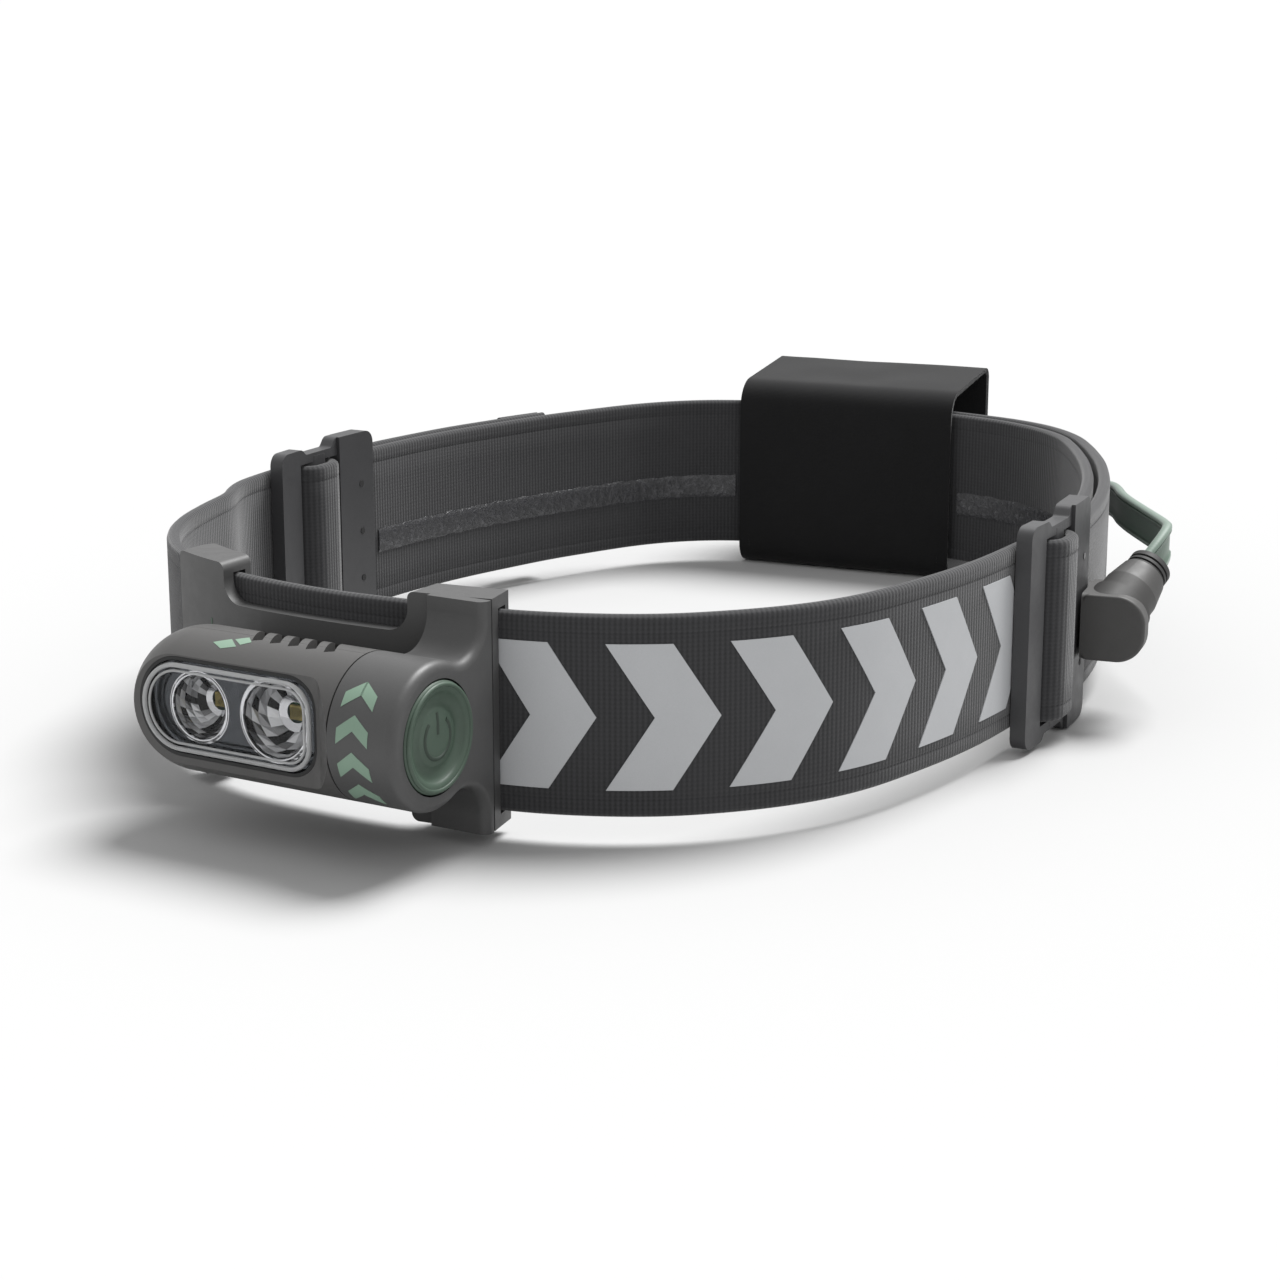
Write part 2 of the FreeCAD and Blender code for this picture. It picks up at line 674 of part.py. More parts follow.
def plate_outline():
    """The bracket from in front: two hooks over the band with a notch between them."""
    top = BAND_MID_Z + BAND_WIDTH / 2 + BAND_CLEAR + HOOK_T
    low = BAND_MID_Z - BAND_WIDTH / 2 - BAND_CLEAR - HOOK_T
    notch_top = BAND_MID_Z + PLATE_HALF_H
    notch_low = BAND_MID_Z - PLATE_HALF_H
    left = at(PLATE_LEFT_S).x - 1.5
    right = at(PLATE_RIGHT_S).x + 4.0
    hook_in = left + HOOK_LEFT_W
    foot_in = left + FOOT_LEFT_W
    arm_in = right - HOOK_RIGHT_W - 4.0
    return rounded([
        (left, low, 1.5), (foot_in, low, 1.5), (foot_in, notch_low, 2.0), (arm_in, notch_low, NOTCH_R),
        (arm_in, low, 1.5), (right, low, 0.0), (right, top, 0.0), (arm_in, top, 1.2),
        (arm_in, notch_top, NOTCH_R), (hook_in, notch_top, NOTCH_R), (hook_in, top, 1.5), (left, top, 1.5),
    ])


def arm_profile():
    """The arm from the side: a round nose coved up and down into the plate."""
    nose = vec(AXLE_Y, AXLE_Z)
    face_y = FRONT_Y - BAND_CLEAR - BAND_T - PLATE_T
    back_y = face_y + 2.2
    top = BAND_MID_Z + BAND_WIDTH / 2 + BAND_CLEAR + HOOK_T
    low = BAND_MID_Z - BAND_WIDTH / 2 - BAND_CLEAR - HOOK_T
    cove_y = face_y - COVE_R
    rise = math.sqrt((HEAD_R + COVE_R) ** 2 - (cove_y - AXLE_Y) ** 2)
    edges = []
    ends = []
    for side, limit in ((1, top), (-1, low)):
        centre = vec(cove_y, AXLE_Z + side * rise)
        towards = nose - centre
        towards.normalize()
        meet = centre + towards * COVE_R
        middle = towards + vec(1, 0)
        middle.normalize()
        start = vec(face_y, centre.y)
        edges.append(Part.Arc(start, centre + middle * COVE_R, meet).toShape())
        edges.append(Part.LineSegment(start, vec(face_y, limit)).toShape())
        edges.append(Part.LineSegment(vec(face_y, limit), vec(back_y, limit)).toShape())
        ends.append(meet)
    edges.append(Part.LineSegment(vec(back_y, top), vec(back_y, low)).toShape())
    edges.append(Part.Arc(ends[0], vec(AXLE_Y - HEAD_R, AXLE_Z), ends[1]).toShape())
    return Part.Wire(Part.__sortEdges__(edges))


def hooks():
    """The band's seat in the bracket: plate, hooks over both edges, and the lips behind."""
    reach = BAND_WIDTH / 2 + BAND_CLEAR
    outside = reach + HOOK_T
    back = -BAND_CLEAR - LIP_T
    front = BAND_T + BAND_CLEAR + PLATE_T
    shell = block(PLATE_LEFT_S, PLATE_RIGHT_S, back, front, -outside, outside)
    before = PLATE_LEFT_S - 5
    after = PLATE_RIGHT_S + 5
    shell = shell.cut(block(before, after, -BAND_CLEAR, BAND_T + BAND_CLEAR, -reach, reach))
    inside = reach - LIP_REACH
    return shell.cut(block(before, after, back - 1, 0, -inside, inside))


def make_bracket():
    """The fixed bracket with its hollow arm."""
    seat = hooks().common(front_prism(plate_outline(), FRONT_Y - 30, FRONT_Y + 40))
    arm_x = AXLE_X + 11.0
    nose = side_prism(arm_profile(), arm_x, ARM_RIGHT)
    nose = soften(nose, 1.6, lambda e: abs(e.CenterOfMass.x - ARM_RIGHT) < 0.01
                  and e.CenterOfMass.y < FRONT_Y - 6.5)
    stub = rod_x(HEAD_R, ARM_LEFT, arm_x + 1)
    body = fuse([seat, nose, stub])
    body = body.cut(rod_x(ARM_BORE_R, ARM_LEFT - 1, ARM_RIGHT - ARM_END_T))
    body = body.cut(rod_x(BUTTON_R + BUTTON_CLEAR, ARM_LEFT, ARM_RIGHT + 3))
    wire_x = ARM_LEFT + BOSS_END + 0.7
    body = body.cut(rod_y(1.6, AXLE_Y, FRONT_Y + 1, wire_x, AXLE_Z - 2.0))
    for y, z in hub_screw_places():
        post = rod_x(2.3, ARM_LEFT + HUB_T + 0.05, ARM_LEFT + BOSS_END, y, z)
        reach = 1 + 1.9 / SCREW_RING_R
        root_y = AXLE_Y + (y - AXLE_Y) * reach
        root_z = AXLE_Z + (z - AXLE_Z) * reach
        root = rod_x(2.0, ARM_LEFT + HUB_T + 0.05, ARM_LEFT + BOSS_END, root_y, root_z)
        boss = fuse([post, root]).common(rod_x(ARM_BORE_R + 0.5, ARM_LEFT, ARM_RIGHT))
        body = body.fuse(boss).cut(rod_x(SCREW_R - 0.1, ARM_LEFT, ARM_LEFT + BOSS_END + 1, y, z))
    return body.removeSplitter()


# ---------------------------------------------------------------- webbing and buckles

class Side:
    """One buckle's place. The left one is the right one turned round, inside out."""

    def __init__(self, right):
        self.right = right
        self.half_gap = OUTER_LANE + BAND_T

    def s(self, along):
        """s at a length along the buckle from its front edge."""
        here = BUCKLE_START + along
        return here if self.right else -here

    def w(self, out):
        """w of a distance from the front webbing's own side of the buckle."""
        return out if self.right else self.half_gap - out

    def block(self, a0, a1, w0, w1, h0, h1):
        s0, s1 = sorted((self.s(a0), self.s(a1)))
        v0, v1 = sorted((self.w(w0), self.w(w1)))
        return block(s0, s1, v0, v1, h0, h1)

    def corner(self, along, out):
        """A test for the upright edge at one corner of a block."""
        place = at(self.s(along), self.w(out))

        def wanted(edge):
            middle = edge.CenterOfMass
            return upright(edge) and math.hypot(middle.x - place.x, middle.y - place.y) < 0.3

        return wanted


def buckle_prism(side, corners):
    """Corners drawn square on to the buckle, made a solid right through it."""
    middle = BUCKLE_LENGTH / 2
    sign = -1 if side.right else 1
    face = Part.Face(rounded([(sign * (a - middle), h, r) for a, h, r in corners]))
    face.rotate(vec(0, 0), vec(1, 0), 90)
    face.translate(vec(0, 20))
    prism = face.extrude(vec(0, -40, 0))
    return placed(prism, frame_at(side.s(middle)))


def make_buckle(side):
    """A three-bar slider: webbing under the narrow bar, over the middle bar, under the plate."""
    low = BAND_T + BAND_CLEAR
    high = low + BUCKLE_T
    plate_low = OUTER_LANE - LEAF_T
    plate_high = OUTER_LANE + BAND_T + LEAF_T
    outline = [
        (0, -BAR_HALF_H, 2.6), (BAR_END + 0.8, -BAR_HALF_H, 2.0), (BAR_END + 2.2, -DIP_HALF_H, 1.0),
        (PLATE_START - 2.2, -DIP_HALF_H, 1.0), (PLATE_START - 0.6, -PLATE_HALF_HEIGHT, 2.0),
        (BUCKLE_LENGTH, -PLATE_HALF_HEIGHT, 2.6),
    ]
    outline += [(a, -h, r) for a, h, r in outline[::-1]]
    wide = BAND_WIDTH
    front_bar = side.block(-1, BAR_END, low, high, -wide, wide)
    front_bar = soften(front_bar, BAR_CORNER_R, side.corner(BAR_END, low))
    end_plate = side.block(PLATE_START, BUCKLE_LENGTH + 1, plate_low, plate_high, -wide, wide)
    end_plate = soften(end_plate, BAR_CORNER_R, side.corner(PLATE_START, plate_low))
    rails = [side.block(BAR_END - 4, PLATE_START + 4, low, high, *sorted((k * WINDOW_HALF_H, k * wide)))
             for k in (-1, 1)]
    frame = fuse([front_bar, end_plate] + rails).common(buckle_prism(side, outline))
    reach = WINDOW_HALF_H + 1.2
    bar = side.block(MID_BAR_START, MID_BAR_END, low - 1.5, high + 0.1, -reach, reach)
    bar = soften(bar, BAR_CORNER_R - 0.3, upright)
    reach = BAND_WIDTH / 2 + 0.2
    pocket = side.block(BUCKLE_LENGTH - TONGUE - 0.3, BUCKLE_LENGTH + 2, OUTER_LANE - 0.02,
                        OUTER_LANE + BAND_T + 0.02, -reach, reach)
    body = fuse([frame, bar]).cut(pocket)
    return body.cut(fuse_pins(side, PIN_R + 0.05)).removeSplitter()


def upright(edge):
    """True for an edge along Z."""
    ends = edge.Vertexes
    return len(ends) == 2 and abs((ends[0].Point - ends[1].Point).z) > 0.9 * edge.Length


def pin_rods(side, radius):
    """The stitch pins through the buckle's end plate."""
    s = side.s(BUCKLE_LENGTH - TONGUE / 2 - 0.5)
    w0, w1 = sorted((side.w(OUTER_LANE - LEAF_T - 0.1), side.w(OUTER_LANE + BAND_T + LEAF_T + 0.1)))
    rods = []
    for i in range(PIN_COUNT):
        h = (i - (PIN_COUNT - 1) / 2) * PIN_PITCH
        rods.append(rod(radius, at(s, w0, h), at(s, w1, h)))
    return rods


def fuse_pins(side, radius):
    return Part.makeCompound(pin_rods(side, radius))


RIGHT = Side(True)
LEFT = Side(False)


def buckle_weave(start, low, high, after):
    """The webbing's middle line over a buckle's middle bar, ending at s = after."""
    rise, top = lane_change(start, low, high, BEND_R)
    fall, end = lane_change(top + WEAVE_TOP, high, low, BEND_R)
    return rise + run(top, top + WEAVE_TOP, high) + fall + run(end, after, low)


def weave_start(side):
    """s where the webbing starts to bend towards the middle bar, walking along +s."""
    middle = (MID_BAR_START + MID_BAR_END) / 2
    reach = WEAVE_TOP / 2 + math.sqrt(BULGE * (4 * BEND_R - BULGE))
    return side.s(middle - reach if side.right else middle + reach)


def sleeve_s(x):
    """s at a place along the sleeve, x being measured to its right."""
    return SLEEVE_S - x


def front_line():
    """Middle line of the front band, from its left tail round the front to its right tail."""
    half = BAND_T / 2
    lane0 = half
    lane1 = OUTER_LANE + half
    tail = -BUCKLE_START - BUCKLE_LENGTH - TAIL_LEFT
    left_start = weave_start(LEFT)
    left_after = -BUCKLE_START + 6.0
    line = run(tail, left_start, lane1)
    line += buckle_weave(left_start, lane1, lane1 - BULGE, left_after)
    step, step_end = lane_change(left_after, lane1, lane0, LANE_CHANGE_R)
    line += step + run(step_end, weave_start(RIGHT), lane0)
    return line + buckle_weave(weave_start(RIGHT), lane0, lane0 + BULGE, sleeve_s(TAIL_RIGHT_X))


def rear_line():
    """Middle line of the rear band, from the right buckle round the back to the left one."""
    half = BAND_T / 2
    start = RIGHT.s(BUCKLE_LENGTH - TONGUE)
    change = sleeve_s(TAIL_RIGHT_X - 3.0)
    step, step_end = lane_change(change, OUTER_LANE + half, half, LANE_CHANGE_R)
    end = LOOP_LENGTH + LEFT.s(BUCKLE_LENGTH - TONGUE)
    return run(start, change, OUTER_LANE + half) + step + run(step_end, end, half)


def make_bands():
    """Both bands, with the lamp cable's channel in the front one, and their grip strips."""
    half = BAND_WIDTH / 2
    front = ribbon(front_line(), -BAND_T / 2, BAND_T / 2, -half, half)
    cable_line = run(CABLE_START, weave_start(RIGHT), BAND_T / 2)
    cable_line += buckle_weave(weave_start(RIGHT), BAND_T / 2, BAND_T / 2 + BULGE, SOCKET_S + STEM_R)
    front = front.cut(ribbon(cable_line, -CHANNEL_T / 2, CHANNEL_T / 2, -CHANNEL_HALF_H, CHANNEL_HALF_H))
    cable = ribbon(cable_line, -CABLE_T / 2, CABLE_T / 2, -CABLE_HALF_H, CABLE_HALF_H)
    rear = ribbon(rear_line(), -BAND_T / 2, BAND_T / 2, -half, half)
    rear = rear.cut(fuse_pins(RIGHT, PIN_R + 0.05)).cut(fuse_pins(LEFT, PIN_R + 0.05))
    hole = rod(STEM_R + 0.2, at(SOCKET_S, CHANNEL_T), at(SOCKET_S, OUTER_LANE + BAND_T + 1))
    low = GRIP_H - GRIP_WIDTH / 2
    high = GRIP_H + GRIP_WIDTH / 2
    grip_front = block(-100.0, RIGHT.s(0) - 4, -GRIP_T, 0, low, high)
    tail_grip = block(RIGHT.s(BUCKLE_LENGTH) + 2, sleeve_s(SLEEVE_WIDTH / 2 + 2), -GRIP_T, 0, low, high)
    left_end = LOOP_LENGTH + LEFT.s(BUCKLE_LENGTH) - 2
    rear_grip = block(sleeve_s(-SLEEVE_WIDTH / 2 - 2), left_end, -GRIP_T, 0, low, high)
    return {
        "front_band": front.cut(hole),
        "rear_band": rear.cut(hole),
        "lamp_cable": cable,
        "grip_strip_front": grip_front,
        "grip_strip_rear": Part.makeCompound([tail_grip, rear_grip]),
    }


# ---------------------------------------------------------------- sleeve and battery

def sleeve_section(inset):
    """The sleeve from its end, as (outwards, height): taller at the back than at the front."""
    front = SLEEVE_FRONT + inset
    back = PACK_FRONT + PACK_T + 0.5 + SLEEVE_T - inset
    low = SLEEVE_FOOT_H + inset
    high = SLEEVE_HALF_H - inset
    r = SLEEVE_R - inset
    return rounded([(front, low, r), (back, low, r), (back, high + SLEEVE_RISE, r), (front, high, r)])


def make_sleeve():
    """A flat fabric tube, open at both ends, round the band and the battery."""
    outer = side_prism(sleeve_section(0.0), -SLEEVE_WIDTH / 2, SLEEVE_WIDTH / 2)
    inner = side_prism(sleeve_section(SLEEVE_T), -SLEEVE_WIDTH, SLEEVE_WIDTH)
    return placed(outer.cut(inner), frame_at(SLEEVE_S))


def pack_box(inset):
    """The battery case's outside, or its inside at an inset, in the sleeve's own frame."""
    half_x = PACK_LENGTH / 2 - inset
    half_z = PACK_HEIGHT / 2 - inset
    r = max(PACK_R - inset, 0.8)
    wire = rounded([(-half_x, -half_z, r), (half_x, -half_z, r), (half_x, half_z, r), (-half_x, half_z, r)])
    shape = front_prism(wire, PACK_FRONT + inset, PACK_FRONT + PACK_T - inset)
    shape.translate(vec(PACK_SHIFT, 0, 0))
    return shape


def pack_screw_places():
    x = PACK_LENGTH / 2 - 3.4
    z = PACK_HEIGHT / 2 - 3.4
    return [(PACK_SHIFT + sx * x, sz * z) for sx in (-1, 1) for sz in (-1, 1)]


def make_battery():
    """The battery pack: tray and lid, pouch cell, protection board, charge port and gland."""
    split = PACK_FRONT + PACK_T - 4.0
    far = 60.0
    case = soften(pack_box(0.0), 1.2, lambda e: not upright_y(e))
    case = case.cut(pack_box(PACK_WALL))
    tray = case.common(box(-far, far, -far, split, -far, far))
    lid = case.common(box(-far, far, split + 0.06, far, -far, far))
    screws = []
    back = PACK_FRONT + PACK_T
    for x, z in pack_screw_places():
        tray = tray.fuse(rod_y(2.2, PACK_FRONT + 0.8, split, x, z))
        tray = tray.cut(rod_y(SCREW_R - 0.1, split - 5.0, split + 1, x, z))
        lid = lid.fuse(rod_y(2.4, split + 0.06, back - 0.6, x, z))
        lid = lid.cut(rod_y(SCREW_R + 0.15, split - 1, back + 1, x, z))
        lid = lid.cut(rod_y(SCREW_HEAD_R + 0.15, back - 1.6, back + 1, x, z))
        shank = rod_y(SCREW_R, split - 4.6, back - 1.5, x, z)
        head = rod_y(SCREW_HEAD_R, back - 1.55, back - 0.3, x, z)
        slot = box(x - 0.3, x + 0.3, back - 0.8, back, z - 1.2, z + 1.2)
        screws.append(shank.fuse(head).cut(slot))
    right = PACK_SHIFT + PACK_LENGTH / 2
    middle = PACK_FRONT + GLAND_OUT
    gland_hole = box(right - PACK_WALL - 1, right + 1, middle - 1.8, middle + 1.8, -4.7, 4.7)
    port_z = -9.0
    port_hole = box(right - PACK_WALL - 1, right + 1, middle - 1.6, middle + 1.6, port_z - 3.3, port_z + 3.3)
    tray = tray.cut(gland_hole).cut(port_hole)
    gland = box(right - PACK_WALL - 0.9, right + GLAND_PROUD, middle - 1.75, middle + 1.75, -4.6, 4.6)
    gland = soften(gland, 1.2, lambda e: abs(e.CenterOfMass.x - right - GLAND_PROUD) < 0.01)
    port = box(right - 5.0, right - 0.2, middle - 1.5, middle + 1.5, port_z - 3.2, port_z + 3.2)
    port = port.cut(box(right - 4.0, right + 1, middle - 0.9, middle + 0.9, port_z - 2.5, port_z + 2.5))
    left = PACK_SHIFT - PACK_LENGTH / 2 + PACK_WALL
    length, height, thick = CELL
    cell_y = PACK_FRONT + PACK_WALL + 0.4
    low = left + 0.8
    tall = height / 2 - 4
    cell = box(low, low + length - 4.5, cell_y, cell_y + thick, -tall, tall)
    cell = soften(cell, 1.0, lambda e: True)
    guard_x = left + 0.8 + length - 4.5 + 0.8
    guard = box(guard_x, guard_x + 1.0, cell_y, cell_y + thick - 1, -9.5, 9.5)
    parts = {
        "battery_tray": tray.removeSplitter(),
        "battery_lid": lid.removeSplitter(),
        "battery_screws": Part.makeCompound(screws),
        "battery_cell": cell,
        "protection_board": guard,
        "charge_port": port,
        "battery_gland": gland,
    }
    home = frame_at(SLEEVE_S)
    return {name: placed(shape, home) for name, shape in parts.items()}


def upright_y(edge):
    """True for an edge along Y."""
    ends = edge.Vertexes
    return len(ends) == 2 and abs((ends[0].Point - ends[1].Point).y) > 0.9 * edge.Length


# ---------------------------------------------------------------- cable

def plug_axis():
    """The inner end of the plug's seat and the direction in which the plug comes out."""
    axis = vec(*PLUG_DIRECTION)
    axis.normalize()
    return at(*SEAT), axis


def make_socket():
    """The socket on the rear band: a flat puck with a sloping collar for the plug."""
    low = OUTER_LANE + BAND_T + LEAF_T + SOCKET_CLEAR
    high = low + SOCKET_T
    half = SOCKET_R
    outline = rounded([(-half, -half, half - EPS), (SOCKET_FRONT, -half, 1.5), (SOCKET_FRONT, half, 1.5),
                       (-half, half, half - EPS)])
    puck = front_prism(outline, low, high)
    puck = soften(puck, 0.9, lambda e: abs(e.CenterOfMass.y - high) < 0.01)
    face = rounded([(low, -half, 1.5), (low + SOCKET_REACH, -half, half - 1.0),
                    (low + SOCKET_REACH, half, half - 1.0), (low, half, 1.5)])
    face = side_prism(face, SOCKET_FRONT - SOCKET_FACE_T, SOCKET_FRONT)
    face = soften(face, 0.6, lambda e: abs(e.CenterOfMass.x - SOCKET_FRONT) < 0.01)
    puck = placed(puck.fuse(face), frame_at(SOCKET_S, SOCKET_H))
    seat, axis = plug_axis()
    floor = placed(box(-30, 30, low, low + 40, -30, 30), frame_at(SOCKET_S))
    collar = rod(COLLAR_R, seat, seat + axis * (PLUG_START - 0.1)).common(floor)
    foot = rod(STEM_R + 1.0, at(SOCKET_S, OUTER_LANE + BAND_T + 0.05), at(SOCKET_S, low + 1))
    stem = rod(STEM_R, at(SOCKET_S, (BAND_T + CABLE_T) / 2 + EPS), at(SOCKET_S, low + 1))
    body = fuse([puck, collar, foot, stem])
    body = body.cut(rod(PLUG_R + 0.3, seat + axis * (PLUG_START - 0.1), seat + axis * 40))
    return body.cut(rod(NOSE_R + 0.15, seat + axis * 1.0, seat + axis * 10)).removeSplitter()


def make_plug():
    """The plug with its contacts and its grooved strain relief."""
    seat, axis = plug_axis()
    taper = seat + axis * (PLUG_END - PLUG_TAPER)
    barrel = rod(PLUG_R, seat + axis * PLUG_START, taper)
    barrel = barrel.fuse(Part.makeCone(PLUG_R, BOOT_R + 0.3, PLUG_TAPER, taper, axis)).removeSplitter()
    barrel = soften(barrel, 0.4, lambda e: e.Closed)
    nose = rod(NOSE_R, seat + axis * 1.4, seat + axis * (PLUG_START + 1))
    sideways = axis.cross(vec(0, 0, 1))
    sideways.normalize()
    contacts = []
    for k in (-1, 1):
        offset = sideways * (1.2 * k)
        contacts.append(rod(0.45, seat + axis * 1.1 + offset, seat + axis * 4.2 + offset))
    contacts = Part.makeCompound(contacts)
    start = seat + axis * (PLUG_END + EPS)
    end = start + axis * BOOT_LENGTH
    boot = rod(BOOT_R, start, end)
    core = rod(BOOT_R - 0.6, start, end)
    for k in (0.4, 1.5):
        ring = rod(BOOT_R + 1, start + axis * k, start + axis * (k + 0.5))
        boot = boot.cut(ring.cut(core))
    return {
        "plug_body": barrel.fuse(nose).removeSplitter().cut(contacts),
        "plug_contacts": contacts,
        "plug_boot": boot,
    }


def lead_points():
    """The lead's route: the battery's gland, its free bends, then the plug's boot."""
    home = frame_at(SLEEVE_S)
    right = PACK_SHIFT + PACK_LENGTH / 2 + GLAND_PROUD + 0.05
    start = home.multVec(vec(right, PACK_FRONT + GLAND_OUT, 0))
    along = home.Rotation.multVec(vec(1, 0, 0))
    seat, axis = plug_axis()
    end = seat + axis * (PLUG_END + BOOT_LENGTH + LEAD_GAP)
    free = [at(*place) for place in FREE_LEAD]
    return [start, start + along * 8.0] + free + [end + axis * LEAD_STRAIGHT, end]


def rounded_route(points):
    """Straight runs joined by tangent arcs, as large as the runs allow."""
    edges = []
    radii = []
    here = points[0]
    for before, corner, after in zip(points, points[1:], points[2:]):
        back = before - corner
        ahead = after - corner
        shorter = min(back.Length, ahead.Length)
        back.normalize()
        ahead.normalize()
        turn = math.pi - back.getAngle(ahead)
        radius = 0.45 * shorter / math.tan(turn / 2)
        reach = 0.45 * shorter
        bisector = back + ahead
        bisector.normalize()
        half = (math.pi - turn) / 2
        nearest = corner + bisector * (radius / math.sin(half) - radius)
        start = corner + back * reach
        end = corner + ahead * reach
        edges.append(Part.LineSegment(here, start).toShape())
        edges.append(Part.Arc(start, nearest, end).toShape())
        radii.append(radius)
        here = end
    edges.append(Part.LineSegment(here, points[-1]).toShape())
    return Part.Wire(edges), radii


def sweep(path, start, tangent):
    """A flat lead along a path, standing on edge."""
    across = vec(-tangent.y, tangent.x)
    across.normalize()
    up = vec(0, 0, 1)
    corners = [start + across * (i * LEAD_T / 2) + up * (j * LEAD_W / 2)
               for i, j in ((-1, -1), (1, -1), (1, 1), (-1, 1))]
    maker = Part.BRepOffsetAPI.MakePipeShell(path)
    maker.setBiNormalMode(up)
    maker.setTransitionMode(0)
    maker.add(Part.makePolygon(corners + corners[:1]))
    maker.build()
    maker.makeSolid()
    return maker.shape()


def make_lead():
    """The flat lead from the battery to the plug, in the two halves that bend with each."""
    path, radii = rounded_route(lead_points())
    edges = path.OrderedEdges
    cut = 2 * (LEAD_SPLIT + 1)
    halves = {"lead_rear": edges[:cut], "lead_front": edges[cut:]}
    parts = {}
    for name, pieces in halves.items():
        half = Part.Wire(pieces)
        first = pieces[0]
        tangent = first.tangentAt(first.FirstParameter)
        parts[name] = sweep(half, first.valueAt(first.FirstParameter), tangent)
        print("%s length %.1f, volume %.1f against %.1f" % (
            name, half.Length, parts[name].Volume, half.Length * LEAD_T * LEAD_W))
    print("lead radii " + " ".join("%.1f" % r for r in radii))
    return parts


# ---------------------------------------------------------------- everything

def build():
    """Every sub-part by its name."""
    parts = {"front_bracket": make_bracket()}
    parts.update(make_head())
    parts["cover_screws"] = make_cover_screws()
    parts.update(make_lens())
    parts.update(make_light())
    parts.update(make_pivot())
    parts.update(make_button())
    parts.update(make_bands())
    for name, side in (("right", RIGHT), ("left", LEFT)):
        parts["buckle_" + name] = make_buckle(side)
        parts["buckle_pins_" + name] = fuse_pins(side, PIN_R)
    parts["battery_sleeve"] = make_sleeve()
    parts.update(make_battery())
    parts["cable_socket"] = make_socket()
    parts.update(make_plug())
    parts.update(make_lead())
    return parts


def main():
    os.makedirs("parts", exist_ok=True)
    for name, shape in build().items():
        if not shape.isValid():
            raise RuntimeError(name + " is not a valid solid")
        shape.exportStep("parts/" + name + ".step")
        print("%-18s %d solid(s) %10.1f mm3" % (name, len(shape.Solids), shape.Volume))


main()
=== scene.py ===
"""A headlamp on an elastic head loop: its looks, its light and its camera."""

import bisect
import logging
import math
from dataclasses import dataclass, field
from enum import Enum
from functools import cache
from typing import Callable, Sequence

import bmesh
import bpy
from mathutils import Matrix, Vector, noise
from mathutils.bvhtree import BVHTree


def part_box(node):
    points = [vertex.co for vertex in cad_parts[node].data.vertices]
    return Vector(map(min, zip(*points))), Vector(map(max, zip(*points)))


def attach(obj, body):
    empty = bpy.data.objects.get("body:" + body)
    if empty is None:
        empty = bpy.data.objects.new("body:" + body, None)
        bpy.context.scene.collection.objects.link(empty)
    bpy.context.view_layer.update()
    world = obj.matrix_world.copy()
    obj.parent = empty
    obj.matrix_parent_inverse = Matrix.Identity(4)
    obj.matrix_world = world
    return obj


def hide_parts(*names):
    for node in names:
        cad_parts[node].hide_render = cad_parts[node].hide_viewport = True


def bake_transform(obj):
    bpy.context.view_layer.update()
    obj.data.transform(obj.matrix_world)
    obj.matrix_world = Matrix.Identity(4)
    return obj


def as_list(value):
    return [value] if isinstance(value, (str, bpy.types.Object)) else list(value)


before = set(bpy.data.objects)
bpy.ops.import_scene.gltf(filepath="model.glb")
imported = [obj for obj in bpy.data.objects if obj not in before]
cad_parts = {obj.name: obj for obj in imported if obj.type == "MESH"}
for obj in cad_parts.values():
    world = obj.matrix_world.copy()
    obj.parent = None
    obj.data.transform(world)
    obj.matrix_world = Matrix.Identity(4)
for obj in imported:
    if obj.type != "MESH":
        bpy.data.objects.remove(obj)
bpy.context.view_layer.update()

LOG = logging.getLogger("headlamp")
MM = 0.001
BAND_MID = 22.3
SHOWN = 0.5
RIGHT = Vector((1, 0, 0))
TO_BACK = Vector((0, 1, 0))


class Body(Enum):
    """The rigid bodies that the pieces ride on."""

    HEADBAND = "headband"
    LAMP = "lamp_head"
    BUTTON = "power_button"
    BATTERY = "battery"
    PLUG = "plug"


# ------------------------------------------------------------------ meshes


